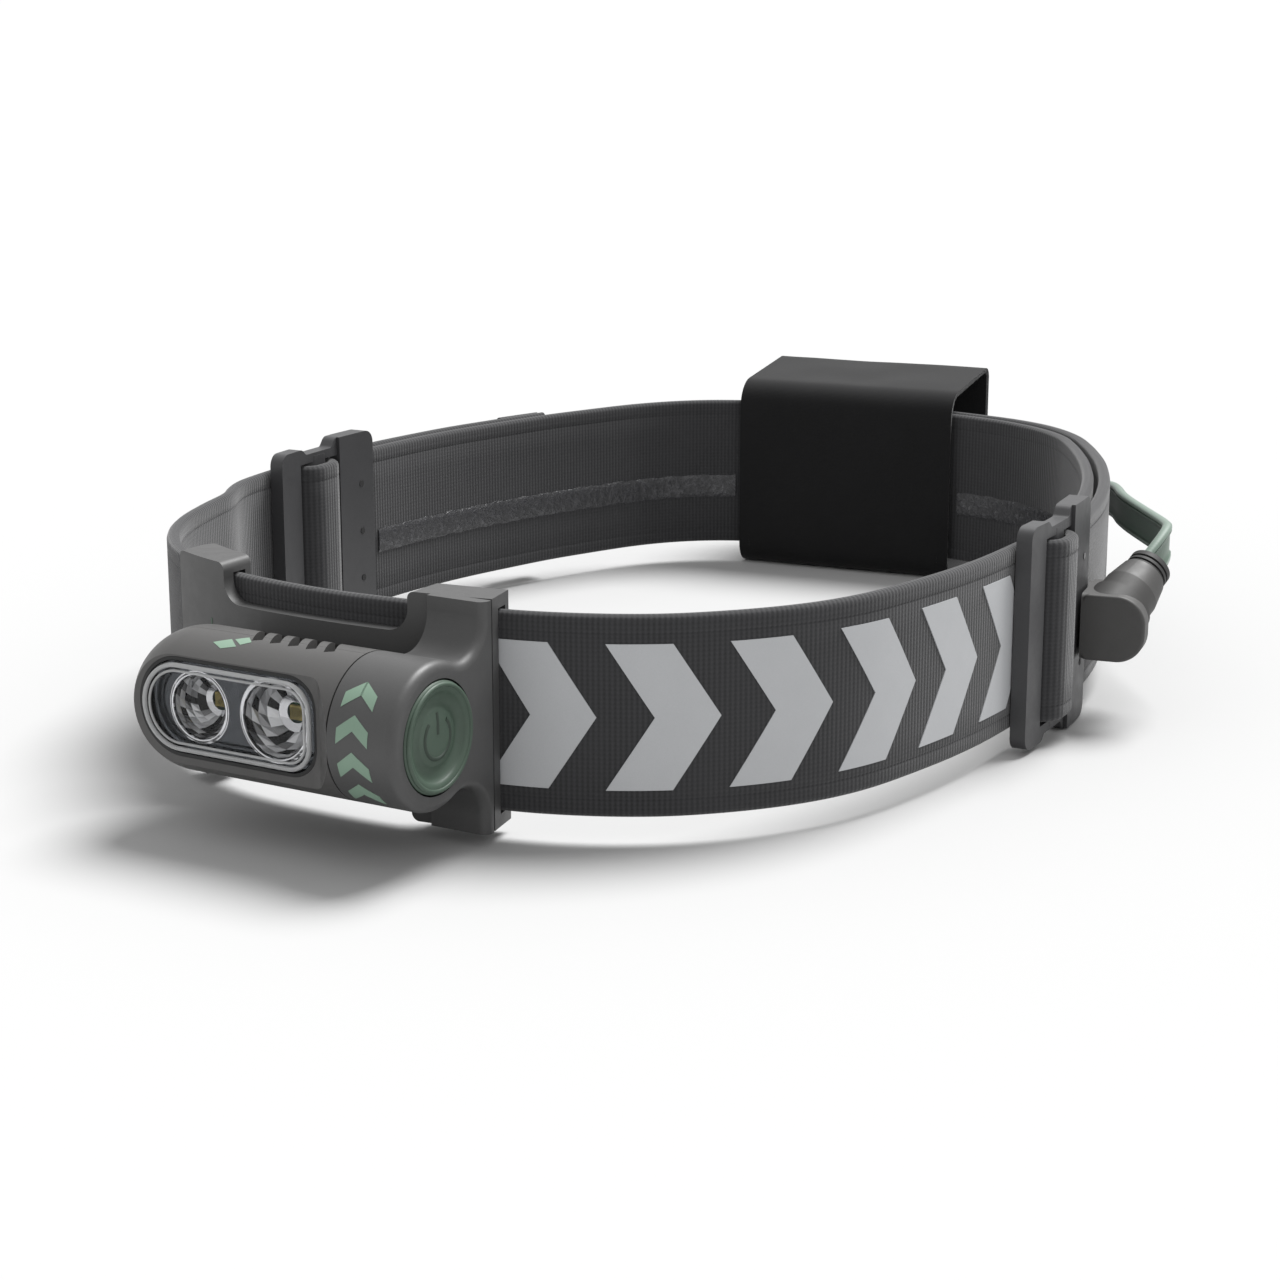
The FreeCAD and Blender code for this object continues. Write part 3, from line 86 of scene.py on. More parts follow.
@dataclass
class Skin:
    """A mesh in the making: points in millimetres, faces, and surface coordinates."""

    points: list[Vector] = field(default_factory=list)
    faces: list[tuple[int, ...]] = field(default_factory=list)
    corners: list[tuple[tuple[float, float], ...]] = field(default_factory=list)

    def loft(self, rings: Sequence[Sequence[Vector]], along: Sequence[float],
             around: Sequence[float], capped: bool = True) -> None:
        """Joins closed rings of points into a tube.

        Args:
            rings: closed rings, each with the same number of points.
            along: the surface coordinate of each ring.
            around: the surface coordinate of each point of a ring, and of its first one again.
            capped: whether the two ends are closed.
        """
        base = len(self.points)
        count = len(rings[0])
        for ring in rings:
            self.points.extend(ring)
        for i in range(len(rings) - 1):
            for j in range(count):
                k = (j + 1) % count
                a = base + i * count
                self.faces.append((a + j, a + k, a + count + k, a + count + j))
                low, high = along[i], along[i + 1]
                v0, v1 = around[j], around[j + 1]
                self.corners.append(((low, v0), (low, v1), (high, v1), (high, v0)))
        if capped:
            last = base + (len(rings) - 1) * count
            for start, u in ((base, along[0]), (last, along[-1])):
                self.faces.append(tuple(range(start, start + count)))
                self.corners.append(tuple((u, around[j]) for j in range(count)))

    def sheet(self, rows: Sequence[Sequence[Vector]], along: Sequence[float],
              across: Sequence[float]) -> None:
        """Joins open rows of points into a sheet.

        Args:
            rows: rows with the same number of points.
            along: the surface coordinate of each row.
            across: the surface coordinate of each point of a row.
        """
        base = len(self.points)
        count = len(rows[0])
        for row in rows:
            self.points.extend(row)
        for i in range(len(rows) - 1):
            for j in range(count - 1):
                a = base + i * count + j
                self.faces.append((a, a + 1, a + count + 1, a + count))
                self.corners.append(((along[i], across[j]), (along[i], across[j + 1]),
                                     (along[i + 1], across[j + 1]), (along[i + 1], across[j])))

    def mesh(self, name: str, sharp: float = 40.0, flat: bool = False) -> bpy.types.Mesh:
        """The finished mesh, in metres, with outward faces.

        Args:
            name: the mesh's name.
            sharp: edges that turn by more than this many degrees stay crisp.
            flat: whether each face is shaded flat.

        Returns:
            The mesh.
        """
        data = bpy.data.meshes.new(name)
        data.from_pydata([p * MM for p in self.points], [], self.faces)
        layer = data.uv_layers.new(name="surface")
        flat_list = [value for face in self.corners for corner in face for value in corner]
        layer.data.foreach_set("uv", flat_list)
        work = bmesh.new()
        work.from_mesh(data)
        bmesh.ops.remove_doubles(work, verts=work.verts, dist=1e-6)
        bmesh.ops.recalc_face_normals(work, faces=work.faces)
        work.to_mesh(data)
        work.free()
        data.polygons.foreach_set("use_smooth", [not flat] * len(data.polygons))
        if not flat:
            data.set_sharp_from_angle(angle=math.radians(sharp))
        return data


def add_piece(name: str, data: bpy.types.Mesh, finish: "Finish") -> bpy.types.Object:
    """Puts a mesh in the scene with its finish.

    Args:
        name: the piece's name.
        data: its mesh, in place.
        finish: what it is made of.

    Returns:
        The new object.
    """
    data.materials.clear()
    data.materials.append(finish.material())
    piece = bpy.data.objects.new(name, data)
    bpy.context.scene.collection.objects.link(piece)
    LOG.info("%s: %d faces", name, len(data.polygons))
    return piece


def dress(node: str, finish: "Finish") -> None:
    """Gives a fixed node its finish."""
    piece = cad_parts[node]
    if not piece.material_slots:
        piece.data.materials.append(finish.material())
    for place in piece.material_slots:
        place.material = finish.material()


def dress_all(finishes: "dict[str, Finish]") -> None:
    """Gives several fixed nodes their finishes."""
    for node, finish in finishes.items():
        dress(node, finish)


def plain_mesh(item: bpy.types.Object) -> bpy.types.Mesh:
    """A plain mesh of what an object's curve or modifier makes."""
    shown = item.evaluated_get(bpy.context.evaluated_depsgraph_get())
    return bpy.data.meshes.new_from_object(shown)


# ------------------------------------------------------------------ finishes


def linear(colour: Sequence[int], gain: float = 1.0) -> tuple[float, float, float, float]:
    """A colour as it shows in the studio's light, from 0 to 255, as the shader's linear colour.

    Args:
        colour: red, green and blue from 0 to 255.
        gain: how much brighter it is made.

    Returns:
        Red, green, blue and alpha.
    """
    out = []
    for value in colour:
        v = value / 255
        bright = v / 12.92 if v < 0.04045 else ((v + 0.055) / 1.055) ** 2.4
        out.append(min(1.0, SHOWN * gain * bright))
    return (out[0], out[1], out[2], 1.0)


class Graph:
    """The node tree of one material, with short calls for the nodes it is made of."""

    def __init__(self, name: str) -> None:
        """Makes an empty material with its shader."""
        self.material = bpy.data.materials.new(name)
        self.material.use_nodes = True
        self.tree = self.material.node_tree
        self.shader = self.tree.nodes["Principled BSDF"]

    def add(self, kind: str, sockets: dict | None = None, **settings: object) -> bpy.types.Node:
        """Adds a node.

        Args:
            kind: the node's type.
            sockets: what goes into its inputs, by name or index: a value or another node's output.
            settings: its properties.

        Returns:
            The node.
        """
        node = self.tree.nodes.new(kind)
        for key, value in settings.items():
            setattr(node, key, value)
        for key, value in (sockets or {}).items():
            self.plug(node.inputs[key], value)
        return node

    def plug(self, socket: bpy.types.NodeSocket, value: object) -> None:
        """Links an output to an input, or sets the input's value."""
        if isinstance(value, bpy.types.NodeSocket):
            self.tree.links.new(value, socket)
        else:
            socket.default_value = value

    def calc(self, operation: str, *values: object) -> bpy.types.NodeSocket:
        """A sum, product or other operation on one to three values."""
        node = self.add("ShaderNodeMath", dict(enumerate(values)), operation=operation)
        return node.outputs[0]

    def place(self) -> bpy.types.NodeSocket:
        """The position on the piece, in metres."""
        return self.add("ShaderNodeTexCoord").outputs["Object"]

    def surface(self) -> tuple[bpy.types.NodeSocket, bpy.types.NodeSocket]:
        """The coordinates along and across the surface, in millimetres."""
        uv = self.add("ShaderNodeUVMap", uv_map="surface").outputs[0]
        parts = self.add("ShaderNodeSeparateXYZ", {0: uv})
        return parts.outputs[0], parts.outputs[1]

    def speckle(self, size_mm: float, detail: float = 2.0,
                where: bpy.types.NodeSocket | None = None) -> bpy.types.NodeSocket:
        """Noise from 0 to 1 with grains of a size in millimetres."""
        scale = 1000.0 / size_mm if where is None else 1.0 / size_mm
        made = self.add("ShaderNodeTexNoise", {"Vector": where or self.place(), "Scale": scale,
                                               "Detail": detail, "Roughness": 0.6})
        return made.outputs["Fac"]

    def times(self, value: object, factor: object) -> bpy.types.NodeSocket:
        """A value times another."""
        return self.calc("MULTIPLY", value, factor)

    def plus(self, value: object, more: object) -> bpy.types.NodeSocket:
        """The sum of two values."""
        return self.calc("ADD", value, more)

    def wave(self, value: object, pitch: float) -> bpy.types.NodeSocket:
        """A sine wave of a pitch along a value, from -1 to 1."""
        return self.calc("SINE", self.times(value, math.tau / pitch))

    def tint(self, amount: object, colour: Sequence[int], low: float,
             high: float) -> bpy.types.NodeSocket:
        """A colour between two brightnesses of itself."""
        return self.blend(amount, linear(colour, low), linear(colour, high))

    def blend(self, amount: object, low: Sequence[float],
              high: Sequence[float]) -> bpy.types.NodeSocket:
        """A colour between two others."""
        node = self.add("ShaderNodeMix", data_type="RGBA")
        self.plug(node.inputs[0], amount)
        self.plug(node.inputs[6], low)
        self.plug(node.inputs[7], high)
        return node.outputs[2]

    def span(self, value: object, low: float, high: float, to_low: float,
             to_high: float) -> bpy.types.NodeSocket:
        """A value moved from one range to another."""
        node = self.add("ShaderNodeMapRange", {0: value, 1: low, 2: high, 3: to_low, 4: to_high})
        return node.outputs[0]

    def relief(self, height: object, depth_mm: float, strength: float = 1.0) -> None:
        """Bumps the shader's surface."""
        bump = self.add("ShaderNodeBump", {"Height": height, "Distance": depth_mm * MM,
                                           "Strength": strength})
        self.plug(self.shader.inputs["Normal"], bump.outputs[0])

    def settle(self, **sockets: object) -> None:
        """Sets the shader's inputs, an underscore standing for a space."""
        for key, value in sockets.items():
            self.plug(self.shader.inputs[key.replace("_", " ")], value)


@dataclass(frozen=True)
class Finish:
    """What a piece is made of. Each kind draws its own nodes."""

    name: str
    colour: tuple[int, int, int]
    roughness: float = 0.5

    @cache
    def material(self) -> bpy.types.Material:
        """The finish's material, made once."""
        graph = Graph(self.name)
        self.draw(graph)
        return graph.material

    def draw(self, graph: Graph) -> None:
        """Draws the finish's nodes."""
        raise NotImplementedError


@dataclass(frozen=True)
class Moulded(Finish):
    """Moulded plastic or rubber: a fine grain, slight clouding, and paler worn patches."""

    grain_mm: float = 0.35
    depth_mm: float = 0.012
    wear: float = 0.12
    coat: float = 0.0

    def draw(self, graph: Graph) -> None:
        """Draws the grain, the clouding and the wear."""
        cloud = graph.speckle(9.0, 3.0)
        grain = graph.speckle(self.grain_mm, 3.0)
        base = graph.tint(cloud, self.colour, 1 - self.wear, 1 + self.wear)
        colour = graph.blend(graph.span(grain, 0.3, 0.7, 0.0, 0.35), base,
                             linear(self.colour, 1.25))
        rough = graph.span(graph.speckle(3.0, 4.0), 0.3, 0.7, self.roughness - 0.05,
                           self.roughness + 0.06)
        graph.settle(Base_Color=colour, Roughness=rough, Coat_Weight=self.coat, Coat_Roughness=0.3)
        graph.relief(grain, self.depth_mm, 0.6)


@dataclass(frozen=True)
class Webbing(Finish):
    """Elastic webbing: ribs across its width, rows of loops along it, and a denser edge."""

    rib_mm: float = 0.62
    row_mm: float = 0.8
    depth_mm: float = 0.1

    def draw(self, graph: Graph) -> None:
        """Draws the ribs and rows as relief, and paints shade into the grooves between them, paler
        on their crests.
        """
        along, across = graph.surface()
        wander = graph.times(graph.speckle(3.5, 2.0), 0.35)
        phase = graph.plus(graph.times(along, math.tau / self.rib_mm), wander)
        rib = graph.span(graph.calc("SINE", phase), -1, 1, 0, 1)
        row_phase = graph.plus(graph.times(across, math.tau / self.row_mm), graph.times(rib, 1.2))
        row = graph.span(graph.calc("SINE", row_phase), -1, 1, 0, 1)
        fibre = graph.speckle(0.16, 3.0)
        height = graph.plus(graph.times(rib, 0.55),
                            graph.plus(graph.times(row, 0.2), graph.times(fibre, 0.5)))
        # painted shade: colour follows the relief, darker in the grooves and paler on the crests,
        # with random fibre tone mixed in
        shade = graph.span(height, 0.2, 1.05, 0.0, 1.0)
        cloud = graph.speckle(14.0, 2.0)
        base = graph.tint(shade, self.colour, 0.62, 1.28)
        graph.settle(Base_Color=graph.blend(graph.span(cloud, 0.35, 0.65, 0.0, 0.25), base,
                                            linear(self.colour, 1.3)),
                     Roughness=self.roughness, Sheen_Weight=0.25, Sheen_Roughness=0.5,
                     Specular_IOR_Level=0.25)
        graph.relief(height, self.depth_mm, 0.9)


@dataclass(frozen=True)
class Cloth(Finish):
    """Smooth knitted cloth with a soft sheen."""

    knit_mm: float = 0.5
    depth_mm: float = 0.035
    sheen: float = 0.35

    def draw(self, graph: Graph) -> None:
        """Draws the knit and the cloth's soft clouding."""
        along, across = graph.surface()
        first = graph.wave(graph.plus(along, across), self.knit_mm)
        second = graph.wave(graph.calc("SUBTRACT", along, across), self.knit_mm)
        knit = graph.span(graph.times(first, second), -1, 1, 0, 1)
        fluff = graph.speckle(0.3, 3.0)
        height = graph.plus(graph.times(knit, 0.5), graph.times(fluff, 0.5))
        cloud = graph.speckle(11.0, 3.0)
        low = graph.tint(height, self.colour, 0.75, 1.25)
        graph.settle(Base_Color=graph.blend(graph.span(cloud, 0.35, 0.65, 0.0, 0.3), low,
                                            linear(self.colour, 1.35)),
                     Roughness=self.roughness, Sheen_Weight=self.sheen, Sheen_Roughness=0.4,
                     Specular_IOR_Level=0.2)
        graph.relief(height, self.depth_mm, 0.8)


@dataclass(frozen=True)
class Ridged(Finish):
    """The lead's sheath: paler moulded edges along a flat middle."""

    edge: tuple[int, int, int] = (150, 172, 158)
    middle_mm: float = 2.3
    row_mm: float = 0.7

    def draw(self, graph: Graph) -> None:
        """Draws the pale edges by the distance across the lead."""
        along, across = graph.surface()
        out = graph.calc("ABSOLUTE", across)
        edge = graph.span(out, self.middle_mm, self.middle_mm + 0.5, 0.0, 1.0)
        grain = graph.speckle(0.25, 3.0)
        rows = graph.span(graph.wave(along, self.row_mm), -1, 1, 0, 1)
        low = graph.tint(graph.speckle(5.0, 2.0), self.colour, 0.85, 1.15)
        graph.settle(Base_Color=graph.blend(graph.times(edge, 0.8), low, linear(self.edge)),
                     Roughness=self.roughness, Sheen_Weight=0.15)
        graph.relief(graph.plus(graph.times(rows, 0.5), grain), 0.03, 0.6)


@dataclass(frozen=True)
class Silicone(Finish):
    """A printed silicone strip: clear grey, wet-looking, with a rough broken edge."""

    def draw(self, graph: Graph) -> None:
        """Draws the ripples and the broken gloss, its glossy patches also painted paler as painted
        glints.
        """
        ripple = graph.speckle(2.2, 4.0)
        gloss_and_painted_glint = graph.span(graph.speckle(1.1, 5.0), 0.42, 0.6, 0.0, 1.0)
        # painted glint: the glossy patches are painted nearly twice as pale as the strip
        graph.settle(Base_Color=graph.blend(gloss_and_painted_glint, linear(self.colour), linear(self.colour, 1.9)),
                     Roughness=graph.span(gloss_and_painted_glint, 0.0, 1.0, self.roughness, 0.12),
                     Specular_IOR_Level=0.7)
        graph.relief(graph.plus(ripple, graph.times(gloss_and_painted_glint, 0.3)), 0.25, 0.9)


@dataclass(frozen=True)
class Ink(Finish):
    """Printed film: a pale reflective transfer or a coloured pad print."""

    beads: float = 0.15
    sparkle_mm: float = 0.12

    def draw(self, graph: Graph) -> None:
        """Draws the fine beads in the film."""
        beads = graph.speckle(self.sparkle_mm, 2.0)
        cloud = graph.speckle(6.0, 3.0)
        low = graph.tint(beads, self.colour, 1 - self.beads, 1 + self.beads)
        graph.settle(Base_Color=graph.blend(graph.span(cloud, 0.3, 0.7, 0.0, 0.3), low,
                                            linear(self.colour, 0.92)),
                     Roughness=graph.span(cloud, 0.3, 0.7, self.roughness - 0.05,
                                          self.roughness + 0.05))
        graph.relief(beads, 0.01, 0.4)


@dataclass(frozen=True)
class Metal(Finish):
    """Plain or polished metal with fine lines and smudges."""

    line_mm: float = 0.2

    def draw(self, graph: Graph) -> None:
        """Draws the lines and smudges."""
        lines = graph.speckle(self.line_mm, 2.0)
        smudge = graph.speckle(4.0, 4.0)
        graph.settle(Base_Color=graph.tint(smudge, self.colour, 0.9, 1.1), Metallic=1.0,
                     Roughness=graph.span(smudge, 0.3, 0.7, self.roughness * 0.7,
                                          self.roughness * 1.3))
        graph.relief(lines, 0.006, 0.4)


@dataclass(frozen=True)
class Mirror(Finish):
    """Vacuum-coated plastic: bright chrome with slight orange peel."""

    peel_mm: float = 1.4

    def draw(self, graph: Graph) -> None:
        """Draws the coating's slow ripple."""
        peel = graph.speckle(self.peel_mm, 1.0)
        graph.settle(Base_Color=graph.tint(peel, self.colour, 1.8, 2.0), Metallic=1.0,
                     Roughness=graph.span(peel, 0.3, 0.7, self.roughness, self.roughness + 0.05))
        graph.relief(peel, 0.02, 0.3)


@dataclass(frozen=True)
class Faceted(Finish):
    """Bright coating broken into facets, some of which are painted near-black as a painted
    reflection of the dark of the lamp.
    """

    # painted reflection: the near-black that the dark facets are painted with
    dark: tuple[int, int, int] = (14, 15, 17)

    def draw(self, graph: Graph) -> None:
        """Draws one painted reflection brightness for each facet, from near-black to bright."""
        along, across = graph.surface()
        cell = graph.add("ShaderNodeCombineXYZ",
                         {0: graph.calc("FLOOR", along), 1: graph.calc("FLOOR", across)})
        pick = graph.add("ShaderNodeTexWhiteNoise", {"Vector": cell.outputs[0]})
        chance = pick.outputs["Value"]
        # painted reflection: a random share of the facets is painted near-black, the rest bright,
        # in place of what the coating would reflect
        shade = graph.span(chance, 0.42, 0.8, 0.0, 1.0)
        graph.settle(Base_Color=graph.blend(shade, linear(self.dark), linear(self.colour, 2.0)),
                     Metallic=0.55, Roughness=graph.span(chance, 0.0, 1.0, self.roughness, 0.2))
        graph.relief(graph.speckle(2.5, 1.0), 0.01, 0.2)


@dataclass(frozen=True)
class Clear(Finish):
    """Clear hard plastic, drawn as a thin bright film over what lies behind it; a white film is a
    painted highlight.
    """

    cover: float = 0.1

    def draw(self, graph: Graph) -> None:
        """Draws the film, a little denser where it is smudged."""
        haze = graph.speckle(5.0, 3.0)
        graph.settle(Base_Color=linear(self.colour), Specular_IOR_Level=0.9,
                     Alpha=graph.span(haze, 0.3, 0.7, self.cover, self.cover + 0.03),
                     Roughness=graph.span(haze, 0.3, 0.7, self.roughness, self.roughness + 0.04))
        graph.relief(graph.speckle(6.0, 1.0), 0.002, 0.2)


@dataclass(frozen=True)
class Lacquer(Finish):
    """A lacquered circuit board or a foil wrap."""

    trace: tuple[int, int, int] = (70, 110, 70)

    def draw(self, graph: Graph) -> None:
        """Draws copper traces under the lacquer."""
        cells = graph.add("ShaderNodeTexVoronoi", {"Vector": graph.place(), "Scale": 450.0},
                          feature="DISTANCE_TO_EDGE").outputs["Distance"]
        line = graph.span(cells, 0.02, 0.05, 1.0, 0.0)
        graph.settle(Base_Color=graph.blend(graph.times(line, 0.6), linear(self.colour),
                                            linear(self.trace)),
                     Roughness=graph.span(graph.speckle(3.0), 0.3, 0.7, self.roughness,
                                          self.roughness + 0.1))
        graph.relief(line, 0.02, 0.5)


SHELL = Moulded("lamp shell", (98, 97, 96), 0.44, wear=0.06)
BRACKET = Moulded("bracket shell", (94, 94, 94), 0.46, wear=0.07)
BUCKLE = Moulded("buckle plastic", (78, 78, 80), 0.46, wear=0.08)
CONNECTOR = Moulded("connector plastic", (88, 87, 86), 0.55, wear=0.06)
DARK_PLASTIC = Moulded("dark plastic", (34, 34, 36), 0.5)
BUTTON_RUBBER = Moulded("button rubber", (86, 108, 92), 0.5, grain_mm=0.2, depth_mm=0.01,
                        wear=0.06)
BOOT_RUBBER = Moulded("strain relief rubber", (74, 74, 74), 0.6, grain_mm=0.25)
SEAL_RUBBER = Moulded("seal rubber", (22, 22, 23), 0.55)
CABLE = Moulded("cable jacket", (28, 28, 30), 0.5)
# painted shade in the rib grooves
ELASTIC = Webbing("woven elastic", (74, 74, 76), 0.92, rib_mm=0.9)
SLEEVE_CLOTH = Cloth("sleeve cloth", (38, 38, 39), 0.9, knit_mm=0.7, depth_mm=0.05, sheen=0.15)
THREAD = Cloth("thread", (30, 30, 31), 0.8, knit_mm=0.3)
SHEATH = Ridged("lead sheath", (104, 130, 113), 0.55)
# painted glints on the strips' glossy patches
GRIP = Silicone("silicone", (60, 60, 63), 0.5)
PRINT = Ink("pale transfer", (238, 240, 243), 0.5)
GREEN_PRINT = Ink("green print", (166, 200, 176), 0.45, beads=0.08)
DIM_PRINT = Ink("dim green print", (84, 116, 92), 0.5, beads=0.06)
STEEL = Metal("steel", (168, 168, 172), 0.3)
SINK = Metal("cast aluminium", (150, 152, 156), 0.45)
BRASS = Metal("brass", (214, 178, 104), 0.25)
DEEP_RUBBER = Moulded("engraved rubber", (58, 76, 63), 0.55, grain_mm=0.2, depth_mm=0.008,
                      wear=0.05)
SMOKED = Mirror("smoked chrome", (84, 87, 91), 0.12, peel_mm=5.0)
# painted reflections on the reflector facets and the light guides
FACETS = Faceted("faceted chrome", (235, 236, 238), 0.04)
# painted highlight: near-white, mostly opaque film for the light caught on the clear lens rim's
# bevel
RIM_HIGHLIGHT = Clear("lens rim highlight", (250, 251, 252), 0.08, cover=0.62)
CHROME = Mirror("chromed reflector", (232, 233, 236), 0.03)
LENS = Clear("clear lens", (40, 42, 45), 0.02)
BOARD = Lacquer("circuit board", (18, 70, 42), 0.3)
CELL = Lacquer("cell wrap", (70, 74, 84), 0.3, trace=(90, 94, 104))
PHOSPHOR = Ink("phosphor", (236, 214, 120), 0.5)


# ------------------------------------------------------------------ the loop in plan


@dataclass(frozen=True)
class Bend:
    """One arc in plan, walked from one angle to another (degrees) about its centre."""

    centre: Vector
    radius: float
    start: float
    end: float

    def length(self) -> float:
        """The arc's length."""
        return self.radius * math.radians(abs(self.end - self.start))

    def out(self, angle: float) -> Vector:
        """The direction out of the loop at an angle."""
        turn = math.radians(angle)
        sign = 1 if self.end > self.start else -1
        return Vector((sign * math.cos(turn), sign * math.sin(turn), 0.0))

    def point(self, angle: float) -> Vector:
        """The point at an angle."""
        turn = math.radians(angle)
        return self.centre + Vector((math.cos(turn), math.sin(turn), 0.0)) * self.radius


@dataclass
class HeadLoop:
    """The oval that the webbing's inner face follows, as tangent arcs in millimetres."""

    start: Vector = field(default_factory=lambda: Vector((0.65, -107.7, 0.0)))
    turn: float = 4.0
    front: tuple[float, float] = (150.0, 9.1)
    corner: tuple[float, float] = (60.0, 65.3)
    side: tuple[float, float] = (198.6, 44.9)
    back: tuple[float, float] = (110.0, 15.2)
    bends: list[tuple[float, Bend]] = field(init=False)
    length: float = field(init=False)

    def __post_init__(self) -> None:
        """Walks the arcs, the back corners taking the radius that closes the loop."""
        marks = [0.0, self.front[1], self.front[1] + self.corner[1],
                 self.front[1] + self.corner[1] + self.side[1], 180.0 - self.back[1], 180.0]
        sines = [math.sin(math.radians(m)) for m in marks]
        radii = [self.front[0], self.corner[0], self.side[0], 0.0, self.back[0]]
        spent = sum(r * (sines[i + 1] - sines[i]) for i, r in enumerate(radii))
        radii[3] = spent / (sines[3] - sines[4])
        turns = [marks[i + 1] - marks[i] for i in range(5)]
        self.bends = []
        self.length = 0.0
        angle = -90.0 + self.turn
        point = self.start
        for radius, turn in zip(radii + radii[::-1], turns + turns[::-1]):
            heading = math.radians(angle)
            centre = point - Vector((math.cos(heading), math.sin(heading), 0.0)) * radius
            bend = Bend(centre, radius, angle, angle + turn)
            self.bends.append((self.length, bend))
            point = bend.point(angle + turn)
            self.length += bend.length()
            angle += turn

    def find(self, s: float) -> tuple[Bend, float]:
        """The bend at a length along the loop, and its angle there."""
        s = s % self.length
        start, bend = [pair for pair in self.bends if pair[0] <= s + 1e-9][-1]
        return bend, bend.start + math.degrees((s - start) / bend.radius)

    def at(self, s: float, w: float = 0.0, h: float = 0.0) -> Vector:
        """The point at s along the loop, w outwards from it and h above its middle."""
        bend, angle = self.find(s)
        return bend.point(angle) + bend.out(angle) * w + Vector((0.0, 0.0, BAND_MID + h))

    def out(self, s: float) -> Vector:
        """The outward direction at s."""
        bend, angle = self.find(s)
        return bend.out(angle)

    def run(self, s0: float, s1: float, w: float) -> list[Bend]:
        """The bends of a lane w outside the loop, from s0 on to s1."""
        if s0 < 0 < s1:
            return self.run(s0 + self.length, self.length, w) + self.run(0.0, s1, w)
        if s0 < 0:
            s0, s1 = s0 + self.length, s1 + self.length
        pieces = []
        for start, bend in self.bends:
            low = max(s0, start)
            high = min(s1, start + bend.length())
            if high - low > 1e-6:
                pieces.append(Bend(bend.centre, bend.radius + w,
                                   bend.start + math.degrees((low - start) / bend.radius),
                                   bend.start + math.degrees((high - start) / bend.radius)))
        return pieces

    def change(self, s0: float, w0: float, w1: float, radius: float) -> tuple[list[Bend], float]:
        """Two tangent arcs from one lane to another.

        Args:
            s0: where the change starts.
            w0: the lane it leaves.
            w1: the lane it reaches.
            radius: the radius of both arcs.

        Returns:
            The two bends, and the s where they end.
        """
        base, angle = self.find(s0)
        sign = 1 if w1 > w0 else -1
        d0 = base.radius + w0 + sign * radius
        d1 = base.radius + w1 - sign * radius
        span = math.degrees(math.acos((d0 * d0 + d1 * d1 - 4 * radius * radius) / (2 * d0 * d1)))
        end = angle + span
        c0 = Bend(base.centre, d0, 0.0, 1.0).point(angle)
        c1 = Bend(base.centre, d1, 0.0, 1.0).point(end)
        middle = (c0 + c1) * 0.5
        leave = math.degrees(math.atan2(middle.y - c0.y, middle.x - c0.x))
        reach = math.degrees(math.atan2(middle.y - c1.y, middle.x - c1.x))
        first = angle + (180 if sign > 0 else 0)
        last = end + (0 if sign > 0 else 180)
        turn0 = (leave - first + 180) % 360 - 180
        turn1 = (last - reach + 180) % 360 - 180
        bends = [Bend(c0, radius, first, first + turn0), Bend(c1, radius, last - turn1, last)]
        return bends, s0 + math.radians(span) * base.radius


LOOP = HeadLoop()


def raised(height: float) -> Vector:
    """The step up from the ground to a height above the loop's middle."""
    return Vector((0, 0, BAND_MID + height))


def angles(parts: int, count: int) -> list[float]:
    """The first few of the angles that divide a turn into equal parts."""
    return [math.tau * i / parts for i in range(count)]


def marks(count: int) -> list[float]:
    """Whole numbers as surface coordinates, one for each row or corner."""
    return [float(k) for k in range(count)]


def lengths_round(outline: Sequence[tuple[float, float]]) -> list[float]:
    """The length so far at each corner of a closed outline, and back at its start."""
    lengths = [0.0]
    for (a0, b0), (a1, b1) in zip(outline, [*outline[1:], outline[0]]):
        lengths.append(lengths[-1] + math.hypot(a1 - a0, b1 - b0))
    return lengths


@dataclass(frozen=True)
class Station:
    """One place along a strap: its length so far, its point, and its outward direction."""

    along: float
    point: Vector
    out: Vector


def stations(bends: Sequence[Bend], step: float, start: float = 0.0) -> list[Station]:
    """Places along a line of bends.

    Args:
        bends: tangent bends, in order.
        step: the most that two places lie apart.
        start: the length at the first place.

    Returns:
        The places, closer together where the line bends tightly.
    """
    places = [Station(start, bends[0].point(bends[0].start), bends[0].out(bends[0].start))]
    along = start
    for bend in bends:
        turn = bend.end - bend.start
        count = max(1, math.ceil(bend.length() / step), math.ceil(abs(turn) / 7.0))
        for i in range(1, count + 1):
            angle = bend.start + turn * i / count
            places.append(Station(along + bend.length() * i / count, bend.point(angle),
                                  bend.out(angle)))
        along += bend.length()
    return places


# ------------------------------------------------------------------ straps


@dataclass
class Buckles:
    """Where the buckles sit, and how the webbing weaves through them."""

    first: float = 131.5
    length: float = 33.5
    middle: float = 14.6
    flat: float = 3.0
    rise: float = 6.3
    bend: float = 4.0

    def reach(self) -> float:
        """Half the length of the weave over the middle bar."""
        return self.flat / 2 + math.sqrt(self.rise * (4 * self.bend - self.rise))

    def weave(self, start: float, low: float, high: float, after: float) -> list[Bend]:
        """The webbing's middle line over a middle bar, from s = start to s = after."""
        up, top = LOOP.change(start, low, high, self.bend)
        down, end = LOOP.change(top + self.flat, high, low, self.bend)
        return up + LOOP.run(top, top + self.flat, high) + down + LOOP.run(end, after, low)


